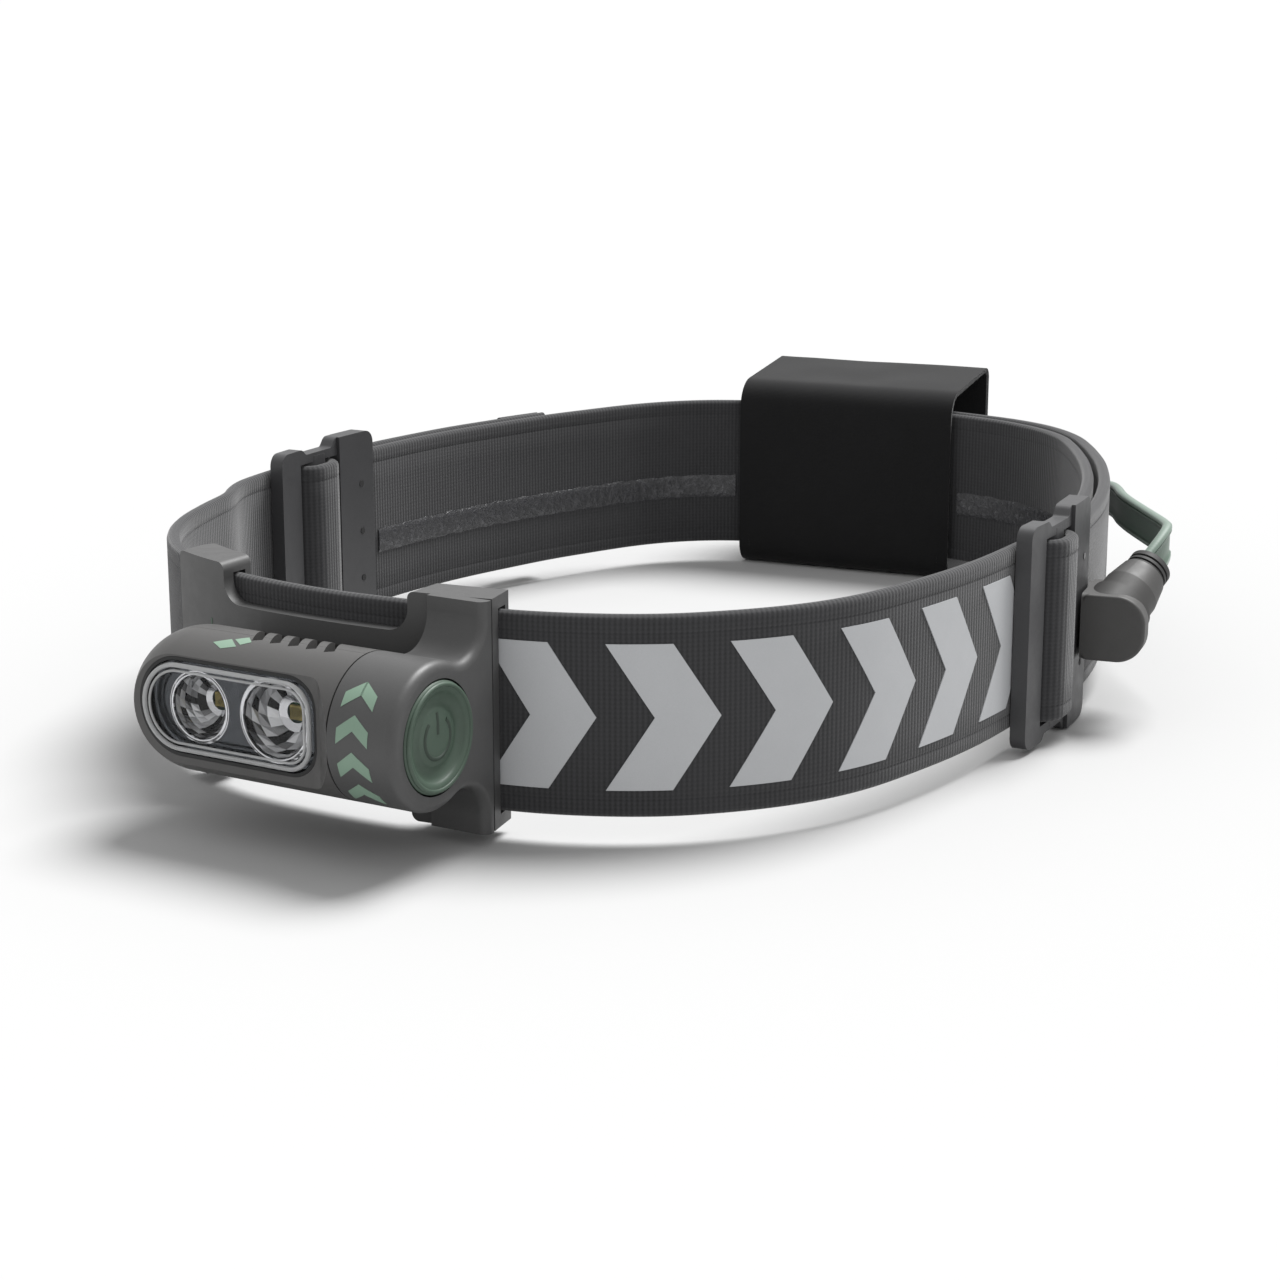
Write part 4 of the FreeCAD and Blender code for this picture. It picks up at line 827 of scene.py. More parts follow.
@dataclass
class Straps:
    """The two lengths of elastic webbing, their prints, grips and sewn ends."""

    width: float = 35.0
    thick: float = 2.45
    lane: float = 1.3
    outer: float = 4.7
    tail: float = 60.0
    sleeve_s: float = 316.4
    edge: float = 1.05
    sweep: float = 30.0
    tuck: float = 7.4
    sleeve_gap: float = 28.5
    buckles: Buckles = field(default_factory=Buckles)

    def profile(self) -> list[tuple[float, float]]:
        """The webbing's section, as (outwards, height) points round it."""
        half_t = self.thick / 2
        half = self.width / 2
        right = [0.3, 0.6, 0.855, 0.87, 0.885, 0.92, 1.0]
        flat = [-f for f in right[::-1]] + [0.0] + right
        reach = half - self.edge
        groove = {-0.87: 0.14, 0.87: 0.14}
        side = [(half_t - groove.get(f, 0.0), f * reach) for f in flat]
        turn = [math.radians(a) for a in (60, 30, 0, -30, -60)]
        top = [(half_t * math.sin(t), reach + self.edge * math.cos(t)) for t in turn]
        back = [(-w, h) for w, h in side[::-1]]
        return side + top + back + [(-w, -h) for w, h in top]

    def strap(self, name: str, bends: Sequence[Bend], start: float) -> bpy.types.Object:
        """Builds a strap along a line.

        Args:
            name: the piece's name.
            bends: the strap's middle line.
            start: the surface coordinate of its first end.

        Returns:
            The strap.
        """
        section = self.profile()
        around = lengths_round(section)
        rings = []
        along = []
        for place in stations(bends, 1.6, start):
            ripple = 0.05 * noise.noise(Vector((place.along * 0.09, 0.0, 3.1)))
            lift = 0.12 * noise.noise(Vector((place.along * 0.05, 7.0, 1.3)))
            rings.append([place.point + place.out * (w + ripple) + raised(h + lift)
                          for w, h in section])
            along.append(place.along)
        skin = Skin()
        skin.loft(rings, along, around)
        return add_piece(name, skin.mesh(name, 60.0), ELASTIC)

    def front_line(self) -> list[Bend]:
        """The front strap's middle line, from its left tail to its right tail in the sleeve."""
        b = self.buckles
        left = -b.first - b.middle - b.reach()
        after = -b.first + 6.0
        line = LOOP.run(-b.first - b.length - self.tail, left, self.outer)
        line += b.weave(left, self.outer, self.outer - b.rise, after)
        step, end = LOOP.change(after, self.outer, self.lane, self.sweep)
        right = b.first + b.middle - b.reach()
        line += step + LOOP.run(end, right, self.lane)
        return line + b.weave(right, self.lane, self.lane + b.rise, self.sleeve_s - 4.0)

    def rear_line(self) -> list[Bend]:
        """The rear strap's middle line, from the right buckle to the left one."""
        b = self.buckles
        start = b.first + b.length - self.tuck
        change = self.sleeve_s - 1.0
        step, end = LOOP.change(change, self.outer, self.lane, self.sweep)
        last = LOOP.length - b.first - b.length + self.tuck
        return LOOP.run(start, change, self.outer) + step + LOOP.run(end, last, self.lane)

    def build(self) -> None:
        """Makes both straps and everything printed or sewn on them."""
        front_line = self.front_line()
        b = self.buckles
        front = self.strap("front_strap", front_line, -b.first - b.length - self.tail)
        rear = self.strap("rear_strap", self.rear_line(), b.first + b.length - self.tuck)
        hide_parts("front_band")
        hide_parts("rear_band")
        for piece in (front, rear):
            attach(piece, Body.HEADBAND.value)
        self.grips()
        self.prints(front_line)
        self.hem()

    def grips(self) -> None:
        """Lays the silicone strips on the inner faces."""
        b = self.buckles
        rear_end = LOOP.length - b.first - b.length - 2
        runs = {
            "front_grip": ("grip_strip_front", [(-100.0, b.first - 4)]),
            "rear_grip": ("grip_strip_rear",
                          [(b.first + b.length + 2, self.sleeve_s - self.sleeve_gap),
                           (self.sleeve_s + self.sleeve_gap, rear_end)]),
        }
        for name, (node, spans) in runs.items():
            skin = Skin()
            for low, high in spans:
                rings = []
                along = []
                for place in stations(LOOP.run(low, high, 0.0), 1.0, low):
                    wave = 0.35 * noise.noise(Vector((place.along * 0.35, 2.0, 0.0)))
                    swell = 0.38 + 0.1 * noise.noise(Vector((place.along * 0.6, 5.0, 0.0)))
                    ring = []
                    for turn in angles(10, 10):
                        height = -3.5 + wave + 2.7 * math.cos(turn)
                        proud = max(0.0, math.sin(turn)) ** 0.5
                        depth = -swell * proud + 0.12 * (math.sin(turn) < 0)
                        ring.append(place.point + place.out * depth + raised(height))
                    rings.append(ring)
                    along.append(place.along)
                skin.loft(rings, along, marks(11))
            grip = add_piece(name, skin.mesh(name, 70.0), GRIP)
            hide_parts(node)
            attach(grip, Body.HEADBAND.value)

    def prints(self, line: Sequence[Bend]) -> None:
        """Lays a generic run of pale chevrons on the front strap's outer face."""
        outlines = chevrons(first=29.0, last=152.0, pitch=20.5, stroke=11.0, half=12.6, lean=8.0)
        start = -self.buckles.first - self.buckles.length - self.tail
        face = on_strap(stations(line, 0.7, start), self.thick / 2 + 0.03)
        Transfer(face, thick=0.12, step=0.9).print_all("band_print", outlines, PRINT,
                                                       Body.HEADBAND)

    def hem(self) -> None:
        """Folds and sews the left tail's end."""
        low = -self.buckles.first - self.buckles.length - self.tail
        fold = LOOP.run(low, low + 11.0, self.outer + self.thick * 0.92)
        section = [(w * 0.85, h * 0.985) for w, h in self.profile()]
        around = marks(len(section) + 1)
        rings = []
        along = []
        for place in stations(fold, 1.5, 0.0):
            rings.append([place.point + place.out * w + raised(h) for w, h in section])
            along.append(place.along)
        skin = Skin()
        skin.loft(rings, along, around)
        folded = add_piece("tail_hem", skin.mesh("tail_hem", 60.0), ELASTIC)
        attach(folded, Body.HEADBAND.value)
        out = self.outer + self.thick * 1.42
        rows = [[LOOP.at(low + d, out, h) for h in range(-16, 17)] for d in (7.4, 9.4)]
        sewn = sew("tail_stitches", rows, pitch=2.6, length=1.9, thick=0.34)
        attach(sewn, Body.HEADBAND.value)


def chevrons(first: float, last: float, pitch: float, stroke: float, half: float,
             lean: float) -> list[list[tuple[float, float]]]:
    """The outlines of a row of chevrons, each as an upper and a lower limb.

    Args:
        first: where the first chevron starts.
        last: where the last one may start.
        pitch: from one to the next.
        stroke: the width of a limb.
        half: half the height.
        lean: how far the point stands ahead of the ends.

    Returns:
        Convex outlines as (along, height) points.
    """
    outlines = []
    s = first
    while s < last:
        for side in (1, -1):
            outlines.append([(s, side * half), (s + stroke, side * half),
                             (s + stroke + lean, 0.0), (s + lean, 0.0)])
        s += pitch
    return outlines


@dataclass
class Transfer:
    """A thin printed film, cut to convex outlines and laid on a surface.

    The surface is a rule: it gives the point for a place along, a place up and a lift off it.
    """

    surface: Callable[[float, float, float], Vector]
    thick: float = 0.1
    step: float = 1.0

    def lay(self, skin: Skin, outline: Sequence[tuple[float, float]]) -> None:
        """Adds one outline to a mesh, following the surface.

        Args:
            skin: the mesh it is added to.
            outline: a convex outline as (along, up) points.
        """
        low = min(s for s, _ in outline)
        high = max(s for s, _ in outline)
        tall = max(h for _, h in outline) - min(h for _, h in outline)
        parts = max(1, math.ceil(tall / self.step))
        steps = max(1, math.ceil((high - low) / self.step))
        stops = sorted({*(s for s, _ in outline),
                        *(low + (high - low) * i / steps for i in range(steps + 1))})
        rings = []
        for s in stops:
            bottom, top = slice_of(outline, min(max(s, low + 1e-4), high - 1e-4))
            heights = [bottom + (top - bottom) * k / parts for k in range(parts + 1)]
            rings.append([self.surface(s, h, -0.08) for h in heights]
                         + [self.surface(s, h, self.thick) for h in heights[::-1]])
        skin.loft(rings, stops, marks(2 * parts + 3))

    def print_all(self, name: str, outlines: Sequence[Sequence[tuple[float, float]]],
                  ink: Finish, body: Body) -> bpy.types.Object:
        """Makes one piece of all the outlines, riding on a body.

        Args:
            name: the piece's name.
            outlines: convex outlines as (along, up) points.
            ink: the film's finish.
            body: what the piece rides on.

        Returns:
            The print.
        """
        skin = Skin()
        for outline in outlines:
            self.lay(skin, outline)
        piece = add_piece(name, skin.mesh(name, 35.0), ink)
        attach(piece, body.value)
        return piece


def on_strap(places: Sequence[Station], offset: float) -> Callable[[float, float, float], Vector]:
    """The rule for a strap's outer face, offset from its middle line.

    Args:
        places: the strap's places, in order.
        offset: from the middle line out to the face.

    Returns:
        The rule, for a length along, a height and a lift.
    """
    reached = [p.along for p in places]

    def surface(s: float, h: float, lift: float) -> Vector:
        """A point on the strap."""
        k = min(max(bisect.bisect_right(reached, s) - 1, 0), len(places) - 2)
        a, b = places[k], places[k + 1]
        t = (s - a.along) / max(b.along - a.along, 1e-9)
        point = a.point.lerp(b.point, t)
        return point + a.out.lerp(b.out, t).normalized() * (offset + lift) + raised(h)

    return surface


def tube(skin: Skin, path: Sequence[Vector], radius: float, up: Vector, sides: int = 8,
         closed: bool = False) -> None:
    """Adds a round bead along a path.

    Args:
        skin: the mesh it is added to.
        path: its middle line, in millimetres.
        radius: the bead's radius.
        up: a direction that the path never runs along.
        sides: points round the bead.
        closed: whether the last point joins the first.
    """
    rings = []
    along = [0.0]
    count = len(path)
    for i, point in enumerate(path):
        before = path[i - 1] if closed or i else path[0]
        after = path[(i + 1) % count] if closed or i < count - 1 else path[-1]
        side = (after - before).normalized().cross(up).normalized()
        rings.append([point + (side * math.cos(t) + up * math.sin(t)) * radius
                      for t in angles(sides, sides)])
        along.append(along[-1] + (after - point).length)
    if closed:
        rings.append(rings[0])
    skin.loft(rings, along[:len(rings)], [float(k) for k in range(sides + 1)], capped=not closed)


def slice_of(outline: Sequence[tuple[float, float]], s: float) -> tuple[float, float]:
    """The lowest and highest point of a convex outline at a place along it."""
    cuts = []
    for (s0, h0), (s1, h1) in zip(outline, [*outline[1:], outline[0]]):
        if min(s0, s1) <= s <= max(s0, s1) and s0 != s1:
            cuts.append(h0 + (h1 - h0) * (s - s0) / (s1 - s0))
    return min(cuts), max(cuts)


# ------------------------------------------------------------------ stitches


@cache
def stitch_tree() -> bpy.types.NodeTree:
    """The node tree that lays stitches along sewing lines.

    Returns:
        A tree with the inputs Pitch, Length, Thickness and Thread.
    """
    tree = bpy.data.node_groups.new("stitch_run", "GeometryNodeTree")
    face = tree.interface
    face.new_socket("Geometry", in_out="INPUT", socket_type="NodeSocketGeometry")
    for name in ("Pitch", "Length", "Thickness"):
        face.new_socket(name, in_out="INPUT", socket_type="NodeSocketFloat")
    face.new_socket("Thread", in_out="INPUT", socket_type="NodeSocketMaterial")
    face.new_socket("Geometry", in_out="OUTPUT", socket_type="NodeSocketGeometry")
    nodes = tree.nodes
    link = tree.links.new
    source = nodes.new("NodeGroupInput")
    sink = nodes.new("NodeGroupOutput")
    lines = nodes.new("GeometryNodeMeshToCurve")
    spaced = nodes.new("GeometryNodeCurveToPoints")
    spaced.mode = "LENGTH"
    bead = nodes.new("GeometryNodeMeshUVSphere")
    bead.inputs["Segments"].default_value = 8
    bead.inputs["Rings"].default_value = 6
    bead.inputs["Radius"].default_value = 0.5
    size = nodes.new("ShaderNodeCombineXYZ")
    laid = nodes.new("GeometryNodeInstanceOnPoints")
    real = nodes.new("GeometryNodeRealizeInstances")
    coat = nodes.new("GeometryNodeSetMaterial")
    link(source.outputs["Geometry"], lines.inputs[0])
    link(lines.outputs[0], spaced.inputs["Curve"])
    link(source.outputs["Pitch"], spaced.inputs["Length"])
    link(source.outputs["Thickness"], size.inputs[0])
    link(source.outputs["Thickness"], size.inputs[1])
    link(source.outputs["Length"], size.inputs[2])
    link(spaced.outputs["Points"], laid.inputs["Points"])
    link(spaced.outputs["Rotation"], laid.inputs["Rotation"])
    link(bead.outputs["Mesh"], laid.inputs["Instance"])
    link(size.outputs[0], laid.inputs["Scale"])
    link(laid.outputs[0], real.inputs[0])
    link(real.outputs[0], coat.inputs[0])
    link(source.outputs["Thread"], coat.inputs["Material"])
    link(coat.outputs[0], sink.inputs[0])
    return tree


def sew(name: str, rows: Sequence[Sequence[Vector]], pitch: float, length: float, thick: float,
        thread: Finish = THREAD) -> bpy.types.Object:
    """Sews stitches along lines.

    Args:
        name: the piece's name.
        rows: sewing lines in millimetres.
        pitch: from one stitch to the next.
        length: a stitch's length.
        thick: the thread's thickness.
        thread: the thread's finish.

    Returns:
        The stitches, as one mesh.
    """
    points = [p * MM for row in rows for p in row]
    edges = []
    base = 0
    for row in rows:
        edges += [(base + i, base + i + 1) for i in range(len(row) - 1)]
        base += len(row)
    guide_data = bpy.data.meshes.new(name + "_guide")
    guide_data.from_pydata(points, edges, [])
    guide = bpy.data.objects.new(name + "_guide", guide_data)
    bpy.context.scene.collection.objects.link(guide)
    modifier = guide.modifiers.new("stitches", "NODES")
    modifier.node_group = stitch_tree()
    values = {"Pitch": pitch * MM, "Length": length * MM, "Thickness": thick * MM,
              "Thread": thread.material()}
    for item in modifier.node_group.interface.items_tree:
        if item.item_type == "SOCKET" and item.in_out == "INPUT" and item.name in values:
            modifier[item.identifier] = values[item.name]
    bpy.context.view_layer.update()
    made = plain_mesh(guide)
    bpy.data.objects.remove(guide)
    made.name = name
    made.polygons.foreach_set("use_smooth", [True] * len(made.polygons))
    layer = made.uv_layers.get("surface") or made.uv_layers.new(name="surface")
    layer.active = True
    return add_piece(name, made, thread)


# ------------------------------------------------------------------ sleeve and battery


@dataclass
class Sleeve:
    """The cloth sleeve at the back of the loop."""

    middle: float = 316.4
    width: float = 53.0
    wall: float = 1.2
    front: float = -5.2
    back: float = 25.9
    low: float = -22.3
    high: float = 22.0
    rise: float = 3.2

    def home(self) -> Matrix:
        """The sleeve's own place: X along it to the right, Y outwards, Z up."""
        out = LOOP.out(self.middle)
        base = LOOP.at(self.middle)
        along = Vector((out.y, -out.x, 0.0))
        turn = Matrix((along, out, Vector((0, 0, 1)))).transposed().to_4x4()
        return Matrix.Translation(base) @ turn

    def section(self, inset: float) -> list[tuple[float, float]]:
        """The sleeve's section at an inset from its outside, as (outwards, height) points."""
        front, back = self.front + inset, self.back - inset
        low, high = self.low + inset, self.high - inset
        corners = [((front, low), 5.0), ((back, low), 4.0), ((back, high + self.rise), 2.6),
                   ((front, high), 6.4)]
        points = []
        for i, ((y, z), radius) in enumerate(corners):
            radius = max(radius - inset, 0.6)
            here = Vector((y, z))
            before = (Vector(corners[i - 1][0]) - here).normalized()
            after = (Vector(corners[(i + 1) % 4][0]) - here).normalized()
            half = before.angle(after) / 2
            centre = here + (before + after).normalized() * (radius / math.sin(half))
            start = here + before * (radius / math.tan(half)) - centre
            turn = math.pi - 2 * half
            for k in range(9):
                angle = turn * k / 8
                points.append((centre.x + start.x * math.cos(angle) - start.y * math.sin(angle),
                               centre.y + start.x * math.sin(angle) + start.y * math.cos(angle)))
        return refine(points, 1.8)

    def build(self) -> None:
        """Makes the sleeve, its hems and its stitches."""
        home = self.home()
        half = self.width / 2
        outer = self.section(0.0)
        inner = self.section(self.wall)
        xs = [-half, -half + 0.25, -half + 0.8]
        xs += [-half + 0.8 + (self.width - 1.6) * i / 46 for i in range(1, 46)]
        xs += [half - 0.8, half - 0.25, half]
        count = len(outer)
        around = lengths_round(outer)
        rings = []
        along = []
        for x in xs:
            rings.append([home @ self.soften(x, y, z, half) for y, z in outer])
            along.append(x)
        lining = resample(inner, count)
        for x in reversed(xs):
            rings.append([home @ Vector((x * (half - 0.25) / half, y, z)) for y, z in lining])
            along.append(2 * half + (half - x))
        rings.append(rings[0])
        along.append(along[-1] + self.wall)
        skin = Skin()
        skin.loft(rings, along, around, capped=False)
        sleeve = add_piece("cloth_sleeve", skin.mesh("cloth_sleeve", 55.0), SLEEVE_CLOTH)
        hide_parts("battery_sleeve")
        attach(sleeve, Body.HEADBAND.value)
        rows = []
        for x in (-half + 2.6, half - 2.6):
            row = [home @ self.soften(x, y, z, half) for y, z in outer]
            rows.append(row + row[:1])
        sewn = sew("sleeve_stitches", rows, pitch=2.2, length=1.5, thick=0.2)
        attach(sewn, Body.HEADBAND.value)

    def soften(self, x: float, y: float, z: float, half: float) -> Vector:
        """A point of the outside, with the cloth's slack and its hem."""
        fade = min(1.0, (half - abs(x)) / 6.0)
        slack = 0.22 * fade * noise.noise(Vector((x * 0.09, y * 0.09, z * 0.09)))
        hem = -0.12 if 2.2 < half - abs(x) < 3.0 else 0.0
        centre = Vector(((self.front + self.back) / 2, (self.low + self.high) / 2))
        away = (Vector((y, z)) - centre).normalized() * (slack + hem)
        return Vector((x, y + away.x, z + away.y))


def refine(points: Sequence[tuple[float, float]], step: float) -> list[tuple[float, float]]:
    """A closed outline with no side longer than step.

    Args:
        points: the outline's corners, in order.
        step: the longest side it may keep.

    Returns:
        The outline with its long sides divided.
    """
    out = []
    for (a0, b0), (a1, b1) in zip(points, [*points[1:], points[0]]):
        count = max(1, math.ceil(math.hypot(a1 - a0, b1 - b0) / step))
        out += [(a0 + (a1 - a0) * i / count, b0 + (b1 - b0) * i / count) for i in range(count)]
    return out


def resample(points: Sequence[tuple[float, float]], count: int) -> list[tuple[float, float]]:
    """A closed outline with a set number of points, evenly spaced by share of its length.

    Args:
        points: the outline's corners, in order.
        count: how many points it gets.

    Returns:
        The evenly spaced points, from the first corner on.
    """
    closed = [*points, points[0]]
    lengths = lengths_round(points)
    out = []
    k = 0
    for i in range(count):
        want = lengths[-1] * i / count
        while lengths[k + 1] < want:
            k += 1
        t = (want - lengths[k]) / (lengths[k + 1] - lengths[k])
        (a0, b0), (a1, b1) = closed[k], closed[k + 1]
        out.append((a0 + (a1 - a0) * t, b0 + (b1 - b0) * t))
    return out


# ------------------------------------------------------------------ the lead


@dataclass
class Lead:
    """The flat lead between the battery and the plug."""

    width: float = 7.4
    thick: float = 2.0
    gland: float = 17.25
    gland_out: float = 10.3
    seat: tuple[float, float, float] = (160.5, 11.9, -2.0)
    direction: tuple[float, float, float] = (3.0, 15.0, 9.0)
    boot_end: float = 16.6
    straight: float = 8.0
    bends: tuple[tuple[float, float, float], ...] = (
        (281.0, 10.6, 0.4), (268.0, 9.8, 1.6), (255.0, 9.6, 3.4), (241.0, 9.2, 6.0),
        (226.0, 8.8, 8.2), (211.0, 8.8, 9.4), (196.0, 14.2, 9.2), (186.0, 17.9, 9.6),
    )

    def route(self, sleeve: Sleeve) -> list[Vector]:
        """The lead's route: the gland, its bends, and the plug's strain relief."""
        home = sleeve.home()
        start = home @ Vector((self.gland, self.gland_out, 0.0))
        axis = Vector(self.direction).normalized()
        end = LOOP.at(*self.seat) + axis * (self.boot_end - 0.4)
        ahead = home @ Vector((self.gland + 8.0, self.gland_out, 0.0))
        bends = [LOOP.at(*bend) for bend in self.bends]
        return [start, ahead, *bends, end + axis * self.straight, end]

    def centreline(self, points: Sequence[Vector]) -> list[Vector]:
        """Points along the smooth line that the route steers."""
        curve = bpy.data.curves.new("lead_route", "CURVE")
        curve.dimensions = "3D"
        curve.resolution_u = 16
        spline = curve.splines.new("NURBS")
        spline.points.add(len(points) - 1)
        for knot, point in zip(spline.points, points):
            knot.co = (*(point * MM), 1.0)
        spline.order_u = 3
        spline.use_endpoint_u = True
        carrier = bpy.data.objects.new("lead_route", curve)
        bpy.context.scene.collection.objects.link(carrier)
        bpy.context.view_layer.update()
        line = plain_mesh(carrier)
        found = [v.co / MM for v in line.vertices]
        bpy.data.objects.remove(carrier)
        return found

    def profile(self) -> list[tuple[float, float]]:
        """The lead's section, as (thickness, height) points: a thin middle between round edges."""
        half_w = self.width / 2
        half_t = self.thick / 2
        side = [(half_t * 0.62, v) for v in (-1.9, -1.0, 0.0, 1.0, 1.9)]
        bead = [(half_t * 0.95, 2.25), (half_t * 0.55, 2.5), (half_t * 0.98, 2.8),
                (half_t * 0.9, 3.3), (half_t * 0.5, half_w - 0.05)]
        low = [(w, -v) for w, v in bead[::-1]]
        near = low + side + bead
        return near + [(-w, v) for w, v in near[::-1]]

    def ribbon(self, name: str, line: Sequence[Vector], start: float) -> bpy.types.Object:
        """Builds a stretch of the lead on edge along its centreline.

        Args:
            name: the piece's name.
            line: the centreline, in millimetres.
            start: the surface coordinate of its first end.

        Returns:
            The stretch.
        """
        section = self.profile()
        around = [v for _, v in section] + [section[0][1]]
        rings = []
        along = []
        length = start
        for i, point in enumerate(line):
            before = line[max(i - 1, 0)]
            after = line[min(i + 1, len(line) - 1)]
            tangent = (after - before).normalized()
            across = Vector((-tangent.y, tangent.x, 0.0)).normalized()
            up = across.cross(-tangent).normalized()
            up = up if up.z > 0 else -up
            rings.append([point + across * w + up * v for w, v in section])
            length += (point - before).length
            along.append(length)
        skin = Skin()
        skin.loft(rings, along, around)
        return add_piece(name, skin.mesh(name, 50.0), SHEATH)

    def build(self, sleeve: Sleeve) -> None:
        points = self.route(sleeve)
        line = self.centreline(points)
        meet = (points[5] + points[6]) / 2
        cut = min(range(len(line)), key=lambda i: (line[i] - meet).length)
        plug = [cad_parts[n] for n in ("plug_body", "plug_contacts", "plug_boot")]
        halves = {
            "lead_back": (line[:cut + 1], "lead_rear", Body.BATTERY, "object", []),
            "lead_ahead": (line[cut:], "lead_front", Body.PLUG, "plug", plug),
        }
        for name, (stretch, node, body, far, on_it) in halves.items():
            piece = self.ribbon(name, stretch, 0.0)
            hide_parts(node)
            length = sum((b - a).length for a, b in zip(stretch, stretch[1:]))
            bodies = [body.value, Body.HEADBAND.value]
            if body is not Body.BATTERY:
                bodies.reverse()
            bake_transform(piece)
            [tuple(p * MM) for p in stretch]
            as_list(on_it)
            LOG.info("%s: %.1f mm long", name, length)


# ------------------------------------------------------------------ the lamp


@dataclass
class Bowl:
    """One reflector: where its middle is, and how its facets are divided."""

    node: str
    sectors: int
    rings: int
    twist: float


@dataclass
class Lamp:
    """The lamp head's optics and prints."""

    axle_y: float = -126.7
    axle_z: float = 22.8
    radius: float = 12.5
    lens_corner: float = 5.2
    bowls: tuple[Bowl, ...] = (Bowl("reflector_spot", 22, 5, 0.5),
                               Bowl("reflector_flood", 16, 4, 0.5))

    def build(self) -> None:
        """Dresses the lamp's nodes and adds its optics and marks."""
        dress_all({
            "head_housing": SHELL, "head_rear_cover": SHELL, "cover_screws": STEEL, "lens": LENS,
            "lens_gasket": SEAL_RUBBER, "optic_plate": SMOKED, "reflector_spot": CHROME,
            "reflector_flood": CHROME, "led_board": BOARD, "led_chips": PHOSPHOR,
            "led_domes": LENS, "heat_sink": SINK, "friction_washer": STEEL,
        })
        for bowl in self.bowls:
            self.facets(bowl)
        self.rims()
        self.studs()
        self.mark()

    def facets(self, bowl: Bowl) -> None:
        """Lines one reflector with flat facets, each just inside the moulded bowl."""
        low, high = corners_of(bowl.node)
        centre = (low + high) / 2
        tree = solid_tree(bowl.node)
        front, deep = low.y + 0.35, high.y - 1.1
        depths, sides = marks(bowl.rings + 1), marks(bowl.sectors + 1)
        rows = []
        for k in range(bowl.rings + 1):
            y = front + (deep - front) * k / bowl.rings
            start = Vector((centre.x, y, centre.z))
            hit = tree.ray_cast(start * MM, RIGHT, 0.02)
            radius = hit[3] / MM - 0.16 if hit[0] is not None else 1.9
            shift = math.pi * bowl.twist * k / bowl.sectors * 2
            rows.append([start + Vector((math.cos(t + shift), 0, math.sin(t + shift))) * radius
                         for t in angles(bowl.sectors, bowl.sectors + 1)])
        skin = Skin()
        skin.sheet(rows, depths, sides)
        back = [[p + Vector((0, 0.1, 0)) + (p - centre).normalized() * 0.05 for p in row]
                for row in rows]
        skin.sheet(back, depths, sides)
        for near, far, u in ((rows[0], back[0], 0.0), (rows[-1], back[-1], float(bowl.rings))):
            skin.sheet([near, far], [u, u + 0.1], sides)
        lined = add_piece(bowl.node + "_facets", skin.mesh(bowl.node, flat=True), FACETS)
        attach(lined, Body.LAMP.value)

    def rims(self) -> None:
        """Adds the bright rims: two near-white beads round the lens as a painted highlight, and a
        chrome ring round each bowl.
        """
        low, high = corners_of("lens")
        skin = Skin()
        # painted highlight: two near-white beads on the lens's bevel
        for inset, radius, proud in ((0.75, 0.42, 0.05), (1.75, 0.24, 0.0)):
            path = stadium(low.x + inset, high.x - inset, low.z + inset, high.z - inset,
                           self.lens_corner - inset)
            tube(skin, [Vector((x, low.y - proud, z)) for x, z in path], radius, TO_BACK,
                 closed=True)
        rim = add_piece("lens_rim_highlight", skin.mesh("lens_rim_highlight"), RIM_HIGHLIGHT)
        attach(rim, Body.LAMP.value)
        skin = Skin()
        for bowl in self.bowls:
            corner, far = corners_of(bowl.node)
            centre = (corner + far) / 2
            radius = (far.x - corner.x) / 2 - 0.5
            circle = [Vector((centre.x + radius * math.cos(t), corner.y + 0.1,
                              centre.z + radius * math.sin(t))) for t in angles(56, 56)]
            tube(skin, circle, 0.32, TO_BACK, closed=True)
        rings = add_piece("bowl_rims", skin.mesh("bowl_rims"), CHROME)
        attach(rings, Body.LAMP.value)

    def studs(self) -> None:
        """Adds the small faceted light guides between the bowls."""
        low, high = corners_of("lens")
        middle = (low + high) / 2
        spots = [(-0.9, 6.0, 0.9), (1.1, 5.4, 1.2), (0.2, -5.9, 1.1), (0.3, 3.6, 0.7),
                 (-0.4, -3.9, 0.6)]
        layers = [(0.0, 0.35), (0.35, 0.95), (0.9, 1.0), (1.3, 0.6)]
        skin = Skin()
        for x, z, size in spots:
            rings = []
            for k, (depth, wide) in enumerate(layers):
                ring = []
                for i in range(6):
                    turn = math.tau * i / 6 + 0.4 * k + x
                    ring.append(Vector((middle.x + x + size * wide * math.cos(turn),
                                        high.y + 0.2 + depth * size,
                                        middle.z + z + size * wide * math.sin(turn))))
                rings.append(ring)
            skin.loft(rings, marks(4), marks(7))
        studs = add_piece("light_guides", skin.mesh("light_guides", flat=True), FACETS)
        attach(studs, Body.LAMP.value)

    def round_face(self, x: float, angle: float, lift: float) -> Vector:
        """The rule for the barrel: a place along its axis, and an arc length up from its front."""
        turn = angle / self.radius
        reach = self.radius + 0.02 + lift
        return Vector((x, self.axle_y - reach * math.cos(turn),
                       self.axle_z + reach * math.sin(turn)))

    def mark(self) -> None:
        """Prints a small leaf-like lozenge beside the cooling slots."""
        lozenges = [[(-18.8, 14.6), (-16.4, 13.4), (-13.8, 14.4), (-16.0, 16.2)],
                    [(-15.4, 16.3), (-13.4, 15.0), (-11.9, 16.2), (-13.4, 17.6)]]
        film = Transfer(self.round_face, 0.03, 0.5)
        film.print_all("lamp_mark", lozenges, GREEN_PRINT, Body.LAMP)


def corners_of(node: str) -> tuple[Vector, Vector]:
    """The low and the high corner of a fixed node's box, in millimetres."""
    low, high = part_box(node)
    return Vector(low) / MM, Vector(high) / MM


def solid_tree(node: str) -> BVHTree:
    """A search tree over a fixed node's surface, in metres."""
    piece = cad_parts[node]
    corners = [piece.matrix_world @ v.co for v in piece.data.vertices]
    return BVHTree.FromPolygons(corners, [tuple(p.vertices) for p in piece.data.polygons])


